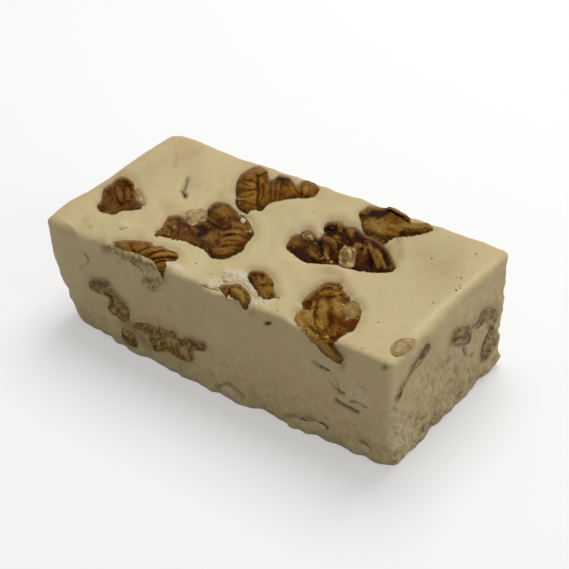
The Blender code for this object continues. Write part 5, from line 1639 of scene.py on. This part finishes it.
FUDGE_MARKS = {
    "lift": (
        (-52.1, 16.8, -51.3, 15.2, 0.48, 0.28), (-57.9, 16.6, -55.8, 15, -54.5, 12.9, 0.53, 0.25),
        (29.5, -14.7, 28.2, -17.1, 29.3, -18.9, 31.9, -18.9, 0.37, -0.3),
        (-25.8, 28.2, -26.9, 24.5, -26.4, 23.5, 0.58, -0.55), (-42.5, 15.4, 1.06, 0.35),
        (-52.6, 16, 0.8, 0.3), (-50.5, 14.2, 0.58, 0.3), (-21.6, -0.4, -17.6, -1.5, 0.32, -0.4),
        (-54.2, 6.8, 1.86, 0.35), (-53.1, 8.1, -52.3, 6.2, -53.9, 4.6, 0.37, -0.25),
        (9.9, -21.9, 11.5, -23.2, 12.3, -25.3, 14.2, -28.2, 15.8, -28.8, 0.4, -0.7),
        (7.8, -20.3, 9.4, -21.6, 0.53, -0.3), (13.6, -30.6, 15.5, -31.9, 19.5, -33.8, 0.4, -0.7),
        (17.9, -28.2, 21.6, -30.1, 1.59, 0.5), (20.3, -30.6, 22.7, -31.7, 0.8, 0.3),
        (17.4, -31.1, 19.2, -31.4, 21.6, -32.7, 0.32, -0.3),
        (4.6, -35.9, 6.5, -37, 9.4, -37, 11.3, -38.3, 0.37, -0.5),
        (5.7, -38, 8.9, -38.3, 0.8, 0.35), (-17.9, -27.2, -15, -26.5, -10.7, -29.8, 0.37, -0.4),
        (-15.2, -28.8, 1.59, 0.5), (20, -41.5, 21.9, -42.8, 0.32, -0.35), (21.1, -43.6, 0.53, 0.3),
        (-9.1, -31.1, -7.6, -32.2, 0.32, 0.3), (-0.4, -35.1, 3, -34.6, 0.53, -0.25),
        (-6, -9.9, 0.1, -10.5, 2.39, -0.25), (-11.8, -19.2, 0.93, 0.15), (31.4, -17.1, 2.39, 0.12),
        (31.9, -21.6, 33.8, -18.9, 36.4, -16, 0.53, 0.2), (42.3, -17.4, 40.7, -23.2, 0.53, 0.2),
        (37.8, -22.7, 0.53, 0.3), (47.8, -16.8, 47.6, -18.4, 0.32, -0.3),
        (29.3, -41.2, 29.8, -38.6, 0.53, 0.25), (-15, 2.3, -10.7, 1.5, 1.59, 0.45),
        (-19.7, 0.1, 1.33, 0.3), (-8.6, -0.9, -6.2, -3.3, 0.64, 0.45),
        (-4.9, -5.2, -1.7, -4.6, 1.19, 0.35),
    ),
    # Dark marks: dark spots, and painted shade in the cracks and creases that the lift marks cut.
    "dark": (
        (-51.8, 15, 0.29, 0.4), (-25.8, 28.2, -26.4, 25.8, 0.45, 0.75),
        (-26.9, 24.8, -26.4, 23.7, 0.61, 0.95), (-26.1, 23.5, 0.64, 0.3),
        (-21.9, -0.4, -17.6, -1.5, 0.24, 0.75), (-53.1, 8.1, -52.3, 6.2, -53.9, 4.6, 0.42, 0.22),
        (9.9, -21.9, 11.5, -23.2, 12.3, -25.3, 14.2, -28.2, 15.8, -28.8, 0.45, 0.7),
        (7.8, -20.3, 9.4, -21.6, 0.53, 0.5), (13.6, -30.6, 15.5, -31.9, 19.5, -33.8, 0.45, 0.8),
        (17.4, -31.1, 19.2, -31.4, 21.6, -32.7, 0.29, 0.6),
        (4.6, -35.9, 6.5, -37, 9.4, -37, 11.3, -38.3, 0.34, 0.6),
        (6.2, -35.1, 7.6, -35.9, 0.42, 0.3), (-17.9, -27.2, -15, -26.5, -10.7, -29.8, 0.34, 0.4),
        (20, -41.5, 21.9, -42.8, 0.29, 0.45), (2.8, -34.8, 0.1, -35.1, 0.53, 0.25),
        (47.8, -16.8, 47.6, -18.4, 0.37, 0.6), (29, -32.5, 29.5, -33.3, 0.32, 0.3),
        (-4.6, -10.5, 0.58, 0.9), (-5.4, -10.5, -3.8, -10.5, 0.37, 0.6), (-30.6, -6.5, 0.42, 0.3),
        (26.6, -21.9, 0.58, 0.25), (-43.6, 6, 0.37, 0.25), (-37.8, 0.9, -37.2, -0.1, 0.32, 0.4),
    ),
    "veil": (
        (-51.8, 16.8, -51, 15.2, 0.64, 0.32), (-53.4, 17.4, -52.6, 16.8, 0.53, 0.25),
        (-28.8, 35.6, -28.9, 30.9, 0.4, 0.28), (-35.1, 31.1, -22.7, 35.1, 1.59, 0.12),
        (-28.2, 38, -23.5, 35.6, 1.59, 0.1), (-53.1, 3.8, -49.4, 2.3, 0.66, 0.15),
        (41.2, 4.4, 6.89, 0.34), (-26.1, 34.1, 5.3, 0.17), (-37.2, 28.8, 3.71, 0.16),
        (10.7, 2.8, 3.18, 0.3), (46, 9.1, 3.71, 0.08),
        (-42.3, -8.9, -38.8, -13.1, -36.7, -15.2, -35.1, -16.3, 1.19, 0.7),
        (30.1, 12.3, 30.9, 7.6, 1.33, 0.5), (-30.3, 20, 2.12, 0.28),
        (-13.9, 25, -16.6, 23.7, 1.59, 0.22), (12.1, 22.4, 3.71, 0.15), (35.9, 9.1, 3.45, 0.15),
        # The veil from (-38, 24.5) and the spot at (-38.6, 22.7), right of the walnut at the left,
        # are painted shade.
        (-23.7, 27.7, 3.18, 0.14), (-35.6, 17.1, 1.86, 0.16), (-38, 24.5, -37, 22.4, 0.8, 0.35),
        (-38.6, 22.7, 0.53, 0.25), (-47.8, 11.8, -47.3, 9.1, 1.33, 0.38), (-50.2, 11, 1.06, 0.15),
        (-47.8, 9.9, -45.7, 8.3, 0.64, 0.4), (-35.6, -1.5, -32.5, 0.1, 1.06, 0.25),
        (26.6, -21.9, 0.95, 0.75), (-31.4, 2.3, -30.9, 0.7, 0.8, 0.3), (-8.6, -7.8, 1.06, 0.35),
        (-11.8, -4.9, -12.9, -4.1, 1.06, 0.3), (15.5, -21.6, 1.06, 0.45),
        (33.3, -17.4, 36.4, -14.7, 38, -14.2, 0.8, 0.15), (-43.1, -9.9, -42, -12.1, 1.06, 0.35),
        (-30.3, -19.5, -26.4, -21.6, 1.33, 0.25), (-22.4, -15.2, -19.2, -17.9, 1.33, 0.2),
        (-33, -8.3, -35.6, -8.9, 1.59, 0.08), (1.5, -34.6, 7.3, -35.1, 1.06, 0.28),
        (-11.8, -29.3, -8.6, -31.1, 0.8, 0.2), (43.6, -14.2, 43.1, -16.3, 0.8, 0.2),
        (49.2, -10.5, 50.8, -8.9, 1.06, 0.2), (53.9, -5.7, 56.1, -5.2, 1.33, 0.22),
        (50.8, -23.2, 43.9, -29.3, 1.06, 0.22), (45.2, -17.9, 49.2, -18.9, 1.33, 0.15),
        (54.5, -13.4, 51.8, -21.6, 1.33, 0.15), (21.3, -44.4, 25.8, -44.4, 1.06, 0.18),
        (29.5, -31.1, 29, -32.7, 0.8, 0.3), (41.2, -31.9, 39.1, -33.8, 1.06, 0.2),
        (17.9, -4.1, 16.3, -2, 0.8, 0.3), (12.1, 3.3, 15.2, 2, 1.33, 0.32),
        (4.1, -3, 5.7, -1.5, 1.06, 0.3),
    ),
    # Pale marks: pale patches of fudge, and painted highlights on the band along the top's edge
    # over the right end, on the rounded edge at the left and on the lips in front of the walnuts.
    "pale": (
        (-57.9, 16.6, -55.8, 15, -54.5, 12.9, 0.42, 0.55), (24.8, -40.7, 2.39, 0.3),
        (-17.9, -15.5, 5.83, 0.25), (31.1, -39.9, 3.18, 0.95),
        (34.6, -12.3, 41.2, -6.2, 48.6, 0.1, 56.1, 6, 0.85, 0.55), (-42.5, 15.4, 1.06, 0.9),
        (-25, 2.5, -22.4, 6, 1.86, 0.4), (-28.8, 4.4, -26.1, 1.7, 1.06, 0.35),
        (28.5, -23.2, 28.5, -30.6, 28, -38.6, 28, -45.2, 1.19, 0.5),
        (17.9, -28.2, 21.6, -30.3, 1.33, 0.35), (22.1, -31.7, 0.53, 0.4),
        (-15.2, -28.8, 1.33, 0.35), (-54.2, 7.3, 1.06, 0.2), (-11.8, -19.2, 0.8, 0.3),
        (-9.9, -16.3, 0.8, 0.2), (-20.3, -9.4, -18.7, -10.7, 0.21, 0.6),
        (-21.1, -1.5, -18.2, -2.5, 0.27, 0.7), (-45.5, 7, -43.9, 3.8, 0.21, 0.5),
        (6.8, -38, 9.1, -38, 0.58, 0.3), (11.3, -24, 0.32, 0.5), (21.3, -43.3, 0.37, 0.5),
        (33.8, -18.7, 34.6, -17.6, 0.21, 0.9), (37.8, -22.9, 0.37, 0.5),
        (42.3, -17.9, 41.2, -21.1, 0.42, 0.35), (33.8, -31.7, 34.1, -36.4, 0.64, 0.25),
        (37.5, -26.4, 37, -30.6, 0.64, 0.2), (29.3, -39.6, 29.5, -41.2, 0.27, 0.5),
        (46.5, -1.5, 0.37, 0.5), (-33, 12.1, -25, 11, -21.1, 8.6, 0.42, 0.4),
        (-53.1, 12.3, -45.7, 8.9, 1.19, 0.6), (-6, 20, 0.1, 22.1, 8.1, 22.7, 0.37, 0.3),
        (1.5, 8.6, 5.2, 5.7, 14.7, 4.6, 0.42, 0.35), (14.7, 4.4, 25.3, 2.8, 0.42, 0.3),
    ),
    "sugar": (
        (-31.4, 6, -27.7, 3.8, 0.8, 0.6), (-15, 2.3, -10.7, 2, 1.06, 0.8),
        (-20, 0.1, -17.4, 0.4, 0.9, 0.6), (-9.7, 0.4, -8.1, -2, 0.53, 0.9),
        (-7.6, -4.9, -3.3, -4.4, 0.8, 0.5), (-30.9, 5.4, -28.8, 4.9, 0.8, 0.45),
        (-10.7, 18.2, -9.1, 16, 0.4, 0.5), (14.7, -14.2, 17.4, -13.1, 0.66, 0.45),
    ),
}

# The lip round a walnut, and how near to one the fudge is free of lumps, all in millimetres.
LIP_HEIGHT = 0.5
LIP_PLACE = 2.4
LIP_REACH = 1.5
SINK_REACH = 0.9
CLEAR_REACH = 2.0
BEDDING_REACH = 4.0
# The front and back are grainy up to one height above the foot, the end up to another.
GRAINY_TO = 10.0
END_GRAINY_TO = 27.0

# In the sums below, lumps takes the places, the size of the lumps in millimetres and their seed.
clear = np.ones(len(body))
marks = {label: np.zeros(len(body)) for label in FUDGE_MARKS}
open_to_view = np.clip(3.0 * facing @ VIEW_AXES[2], 0.0, 1.0)
spots = in_view(body)
for label, lines in FUDGE_MARKS.items():
    marks[label] = open_to_view * marked(spots + 0.22 * marbled(spots, 1.6, 71.0), lines)
for piece, depth, brown, reach in BEDDING:
    lip = min(depth, LIP_HEIGHT)
    line = seen_edges[piece.name]
    around = ((spots > line.min(0) - BEDDING_REACH) & (spots < line.max(0) + BEDDING_REACH)).all(1)
    near = np.flatnonzero(around & (open_to_view > 0.0))
    gap, nearest, _ = gap_to_line(spots[near], line)
    inside = inside_of(spots[near], line)
    outside = np.where(inside, 0.0, gap)
    behind = np.where(inside, -1.0, (spots[near] - nearest)[:, 1] / np.maximum(gap, 1e-9))
    # The brown is strongest on a walnut's far side: painted shade where the fudge slopes down to
    # it.
    side = np.clip(0.25 + 0.8 * behind, 0.03, 1.0)
    risen = 0.4 * np.exp(-((gap - LIP_PLACE) / LIP_REACH) ** 2)
    risen -= 0.5 * np.exp(-(gap / SINK_REACH) ** 2)
    marks["lift"][near] -= inside * depth * np.clip(gap / SINK_REACH, 0.0, 1.0)
    marks["lift"][near] += ~inside * lip * risen
    brown_and_shade = side * brown * np.exp(-(outside / reach) ** 1.4)
    marks["veil"][near] = np.maximum(marks["veil"][near], brown_and_shade)
    clear[near] = np.minimum(clear[near], np.clip(outside / CLEAR_REACH, 0.0, 1.0))

level = flat[:, 2]
foot = level < 1e-4
low = 1.0 / (1.0 + np.exp((level - GRAINY_TO) / 3.0))
on_walls = np.linalg.norm(facing[:, :2], axis=1)
at_end = np.maximum(0.0, facing[:, 0]) / (1.0 + np.exp((level - END_GRAINY_TO) / 2.0))
swell = clear * (0.16 * lumps(body, 5.0, 31.0) + 0.05 * lumps(body, 1.6, 32.0))
grains = 0.22 * lumps(body, 2.6, 33.0) + 0.16 * np.abs(lumps(body, 1.3, 34.0))
grains += 0.06 * lumps(body, 0.8, 37.0)
above_foot = 1.0 - 0.85 * np.exp(-level / 2.5)
swell += on_walls * above_foot * (1.3 * low + 2.0 * at_end + 0.15) * grains * clear
drags = lumps(body * (1.0, 1.0, 0.5), 1.5, 38.0)
swell += 0.45 * at_end * above_foot * drags * clear
patches = 0.7 + 0.6 * lumps(body, 4.5, 41.0)
grit = np.clip((0.55 * at_end + 0.45 * on_walls * low) * patches * clear, 0.0, 1.0)
# On the end, painted shade in the pits of the dragged lumps and painted light on their crests.
marks["dark"] += at_end * clear * np.clip(-drags - 0.35, 0.0, 1.0)
marks["pale"] += at_end * clear * np.clip(drags - 0.25, 0.0, 1.0)
stains = np.clip(lumps(body, 3.2, 39.0) + 0.5 * lumps(body, 1.2, 40.0) - 0.1, 0.0, 1.0)
marks["veil"] = np.maximum(marks["veil"], (0.35 * at_end + 0.22 * on_walls * low) * stains)
sugar = np.clip(marks["sugar"], 0.0, 1.0)
crumbled = 0.80 * np.abs(lumps(body, 1.7, 35.0)) + 0.60 * np.abs(lumps(body, 0.9, 36.0))
swell += sugar * (crumbled - 0.15)
body += facing * (swell + marks["lift"])[:, None]
body[foot, 2] = 0.0
write_places(fudge_bar.data, body)
for field, label in (("veil", "veil"), ("dark", "dark"), ("light", "pale"), ("sugar", "sugar")):
    write_field(fudge_bar.data, field, np.clip(marks[label], 0.0, 1.0))
write_field(fudge_bar.data, "grit", grit)

net = bmesh.new()
net.from_mesh(fudge_bar.data)
under = [face for face in net.faces if all(abs(vert.co.z) < 1e-7 for vert in face.verts)]
bmesh.ops.delete(net, geom=under, context="FACES")
rim = [edge for edge in net.edges if edge.is_boundary]
bmesh.ops.contextual_create(net, geom=rim)
bmesh.ops.recalc_face_normals(net, faces=net.faces)
net.to_mesh(fudge_bar.data)
net.free()
fudge_bar.data.shade_smooth()

fudge_finish, tree, surface = new_material("fudge_finish")
paste = with_fields(tree, fudge_paste, PASTE_FIELDS)
normal = bumped(tree, paste.outputs["Height"], 0.5, 0.00025)
tree.links.new(waxy(tree, paste.outputs["Color"], paste.outputs["Roughness"], normal), surface)
keep(fudge_bar, fudge_finish, "fudge_cream", "fudge")


# ---- Bits of fudge stuck to the walnuts --------------------------------------
# Small lumps of fudge and pale kernel that cling to the walnuts or lie on the top, each one a
# solid of its own.  They are grainy, because they dried out while the bar set.

# Each bit: its name, the walnut it clings to, how high it stands, its roughness, how brown it is,
# how wide its melted border is and its outline.
CLINGING = (
    ("fudge_on_middle", walnut_middle, 1.7, 0.16, 0.60, 0.0, (
        -26.1, 19.2, -25.6, 19.7, -24.5, 19.9, -23.2, 19.9, -22.4, 20.4, -21.6, 20.1, -20.8, 19.9,
        -20.4, 18.9, -20.5, 17.6, -21.2, 16.7, -22.4, 16.6, -23.2, 16, -24.5, 15.6, -25.3, 16,
        -25.8, 16.8, -26.2, 17.9,
    )),
    ("crumb_by_left", fudge_bar, 0.5, 0.16, 0.60, 0.0, (
        -39.6, 25, -38.8, 25.6, -37.9, 24.9, -37.4, 23.9, -36.7, 22.7, -36.7, 21.6, -37.5, 21.1,
        -38.3, 21.7, -38.7, 22.8, -39.2, 24,
    )),
    ("fudge_flake_left", fudge_bar, 0.5, 0.10, 0.00, 0.0, (
        -43.7, 15.6, -43.1, 16.2, -42, 16.2, -41.2, 15.6, -42, 15, -43.3, 14.7, -43.9, 15,
    )),
    ("crumb_by_middle", walnut_middle, 0.9, 0.20, 0.00, 0.0, (
        -11.4, 17.8, -10.5, 17.8, -10.2, 17.1, -10.6, 16.2, -11.4, 16.2, -11.7, 17,
    )),
    ("crumb_behind_middle", walnut_middle, 0.6, 0.20, 0.05, 0.0, (
        -11.7, 19.2, -10.7, 19.1, -9.8, 18.2, -9.7, 17.6, -10.5, 17.9, -11.4, 18.4,
    )),
    ("kernel_nib", walnut_cluster, 0.4, 0.60, 0.90, 0.0, (
        5, 13.6, 5.7, 14.1, 6.8, 14, 7.6, 13.4, 8, 12.3, 7.4, 11.5, 6.2, 11.3, 5.2, 11.9, 4.8, 12.9,
    )),
    ("fudge_on_heap", walnut_cluster, 0.6, 0.35, 0.90, 0.0, (
        15, 9.3, 16.3, 9.9, 18, 9.8, 19.1, 9.1, 18.9, 7.6, 18.7, 6, 18, 4.5, 16.3, 4.6, 14.7, 5,
        14.3, 6.8, 14.6, 8.3,
    )),
    ("tan_patch", fudge_bar, 0.20, 0.12, 0.60, 0.0, (
        28.2, -17.9, 28.2, -16.3, 29.3, -15, 30.6, -14.3, 32.5, -14.2, 34.1, -14.2, 34.8, -14.7,
        34.6, -16, 33.5, -17.4, 32.2, -18.2, 30.9, -18.9, 29.3, -18.9,
    )),
    ("fudge_on_right", walnut_front_right, 0.6, 0.08, 1.00, 0.45, (
        15.2, -6.2, 16.2, -5.2, 17.4, -4.5, 18.8, -4.5, 19.9, -5.4, 20, -7, 19.3, -8.6, 18, -9.5,
        16.6, -9.3, 15.5, -8.1,
    )),
)
for name, host, height, rough, brown, film, outline in CLINGING:
    bit = laid_piece(name, outline=outline, onto=(form_of(host),), height=height, softness=0.3,
                     rim=0.25, roughness=(rough, 0.6 * rough), seed=41.0, film=film)
    fill_fields(bit, veil=brown, grit=min(1.0, 4.0 * rough))
    keep(bit, crumb_finish, "fudge_cream")


# ---- Crumbs, sugar grains and specks -----------------------------------------
# Loose sugar grains lie where the fudge has broken and in the folds of the walnuts, and specks of
# walnut skin are scattered over the bar.  They are spread by Geometry Nodes over a field kept at
# the vertices of the piece that they lie on.
def scatter_tree():
    """Irregular grains on a surface: as many as a field says, sunk a little into it."""
    tree = bpy.data.node_groups.new("scattered_grains", "GeometryNodeTree")
    for label, kind in (
        ("Surface", "Geometry"), ("Where", "String"), ("Number", "Float"), ("Smallest", "Float"),
        ("Largest", "Float"), ("Flatness", "Float"), ("Seed", "Int"), ("Finish", "Material"),
    ):
        add_socket(tree, label, kind)
    add_socket(tree, "Grains", "Geometry", "OUTPUT")
    given = add_node(tree, "NodeGroupInput").outputs
    field = add_node(tree, "GeometryNodeInputNamedAttribute", {
        "Name": given["Where"],
    }, data_type="FLOAT")
    dense = reckon(tree, "POWER", field.outputs["Attribute"], 2.0)
    dense = reckon(tree, "MULTIPLY", dense, given["Number"])
    spots = add_node(tree, "GeometryNodeDistributePointsOnFaces", {
        "Mesh": given["Surface"], "Density": dense, "Seed": given["Seed"],
    })
    grain = add_node(tree, "GeometryNodeMeshIcoSphere", {"Radius": 1.0, "Subdivisions": 2})
    size = add_node(tree, "FunctionNodeRandomValue", {
        2: given["Smallest"], 3: given["Largest"], "Seed": given["Seed"],
    }, data_type="FLOAT")
    squash = add_node(tree, "ShaderNodeCombineXYZ", {"X": 1.0, "Y": 0.7, "Z": given["Flatness"]})
    sizes = {0: squash.outputs[0], 3: size.outputs[1]}
    scale = add_node(tree, "ShaderNodeVectorMath", sizes, operation="SCALE")
    spin = add_node(tree, "FunctionNodeRandomValue", {
        0: (-0.5, -0.5, -3.14), 1: (0.5, 0.5, 3.14), "Seed": given["Seed"],
    }, data_type="FLOAT_VECTOR")
    placed = add_node(tree, "GeometryNodeInstanceOnPoints", {
        "Points": spots.outputs["Points"], "Instance": grain.outputs["Mesh"],
        "Rotation": spots.outputs["Rotation"], "Scale": scale.outputs[0],
    })
    spun = add_node(tree, "GeometryNodeRotateInstances", {
        "Instances": placed.outputs["Instances"], "Rotation": spin.outputs[0],
    })
    real = add_node(tree, "GeometryNodeRealizeInstances", {"Geometry": spun.outputs["Instances"]})
    here = add_node(tree, "GeometryNodeInputPosition")
    rough = add_node(tree, "ShaderNodeTexNoise", {
        "Vector": here.outputs[0], "Scale": 2600.0, "Detail": 1.0,
    })
    middle = add_node(tree, "ShaderNodeVectorMath", {
        0: rough.outputs["Color"], 1: (0.5, 0.5, 0.5),
    }, operation="SUBTRACT")
    shift = add_node(tree, "ShaderNodeVectorMath", {
        0: middle.outputs[0], 3: given["Largest"],
    }, operation="SCALE")
    bent = add_node(tree, "GeometryNodeSetPosition", {
        "Geometry": real.outputs[0], "Offset": shift.outputs[0],
    })
    finished = add_node(tree, "GeometryNodeSetMaterial", {
        "Geometry": bent.outputs[0], "Material": given["Finish"],
    })
    tree.links.new(finished.outputs[0], tree.nodes.new("NodeGroupOutput").inputs["Grains"])
    return tree


grains_tree = scatter_tree()


def scatter(name, piece, **settings):
    """Real grains scattered over a piece, as one plain mesh."""
    host = add_object(name, piece.data.copy())
    maker = host.modifiers.new("grains", "NODES")
    maker.node_group = grains_tree
    for socket in grains_tree.interface.items_tree:
        if socket.in_out == "INPUT" and socket.name in settings:
            maker[socket.identifier] = settings[socket.name]
    settle(host)
    return host


speck_finish, tree, surface = new_material("speck_finish")
place = add_node(tree, "ShaderNodeTexCoord").outputs["Object"]
tone = speckle(tree, place, 300.0, 2.0)
colour = blend_colours(tree, spread(tree, tone, 0.35, 0.65), shade(66, 46, 24), shade(136, 106, 62))
shader = add_node(tree, "ShaderNodeBsdfPrincipled", {"Base Color": colour, "Roughness": 0.6})
tree.links.new(shader.outputs[0], surface)

SPECKS_FROM = 1.5
write_field(fudge_bar.data, "everywhere", read_places(fudge_bar.data)[:, 2] > SPECKS_FROM)

sugar_on_fudge = scatter("sugar_on_fudge", fudge_bar, Where="sugar", Number=1.6e6, Smallest=0.00008,
                         Largest=0.00030, Flatness=0.8, Seed=5, Finish=crumb_finish)
keep(sugar_on_fudge, crumb_finish, "fudge_cream")
specks = scatter("specks", fudge_bar, Where="everywhere", Number=5.0e3, Smallest=0.00008,
                 Largest=0.00024, Flatness=0.35, Seed=9, Finish=speck_finish)
keep(specks, speck_finish, "walnut_brown")
# Sugar in the folds of a walnut: the walnut, its most grains to the square metre, and the seed.
SUGARED = (
    (walnut_middle, 1.6e6, 11), (walnut_cluster, 0.8e6, 12), (walnut_front_right, 1.5e6, 13),
    (walnut_front_left, 1.2e6, 14), (walnut_back, 0.9e6, 15),
)
for piece, number, seed in SUGARED:
    grains = scatter("sugar_on_" + piece.name, piece, Where="pale", Number=number, Smallest=0.00010,
                     Largest=0.00034, Flatness=0.8, Seed=seed, Finish=crumb_finish)
    keep(grains, crumb_finish, "fudge_cream")

# Specks that show one by one in the photograph: x, y, length and thickness, on the top.
SPECKS = (
    (53.0, 4.8, 0.36, 0.22), (44.0, -14.6, 0.4, 0.17), (18.1, -19.3, 0.32, 0.26),
    (22.3, -21.6, 0.4, 0.22), (-8.0, -19.7, 0.4, 0.21), (-28.0, 8.0, 0.28, 0.15),
    (9.7, 24.6, 0.4, 0.22), (51.0, -2.0, 0.24, 0.15), (49.0, 20.0, 0.24, 0.19),
    (19.5, -17.3, 0.24, 0.15), (41.0, 12.6, 0.28, 0.19), (51.5, 9.4, 0.2, 0.15),
    (-0.6, -20.6, 0.72, 0.3), (0.9, -20.0, 0.48, 0.26), (53.4, 6.0, 0.2, 0.15),
    (52.6, 6.8, 0.18, 0.14),
)
SPECK_HEIGHT = 0.22
SPECK_TURN = 37.0
mesh = bmesh.new()
for index, (x, y, long, wide) in enumerate(SPECKS):
    spot = on_top(np.array((x,)), np.array((y,)))[0]
    add_lobe(mesh, spot, (long, wide, SPECK_HEIGHT), SPECK_TURN * index)
set_in_place(mesh)
larger_specks = add_object("larger_specks", bpy.data.meshes.new("larger_specks"))
mesh.to_mesh(larger_specks.data)
mesh.free()
keep(larger_specks, speck_finish, "walnut_brown")
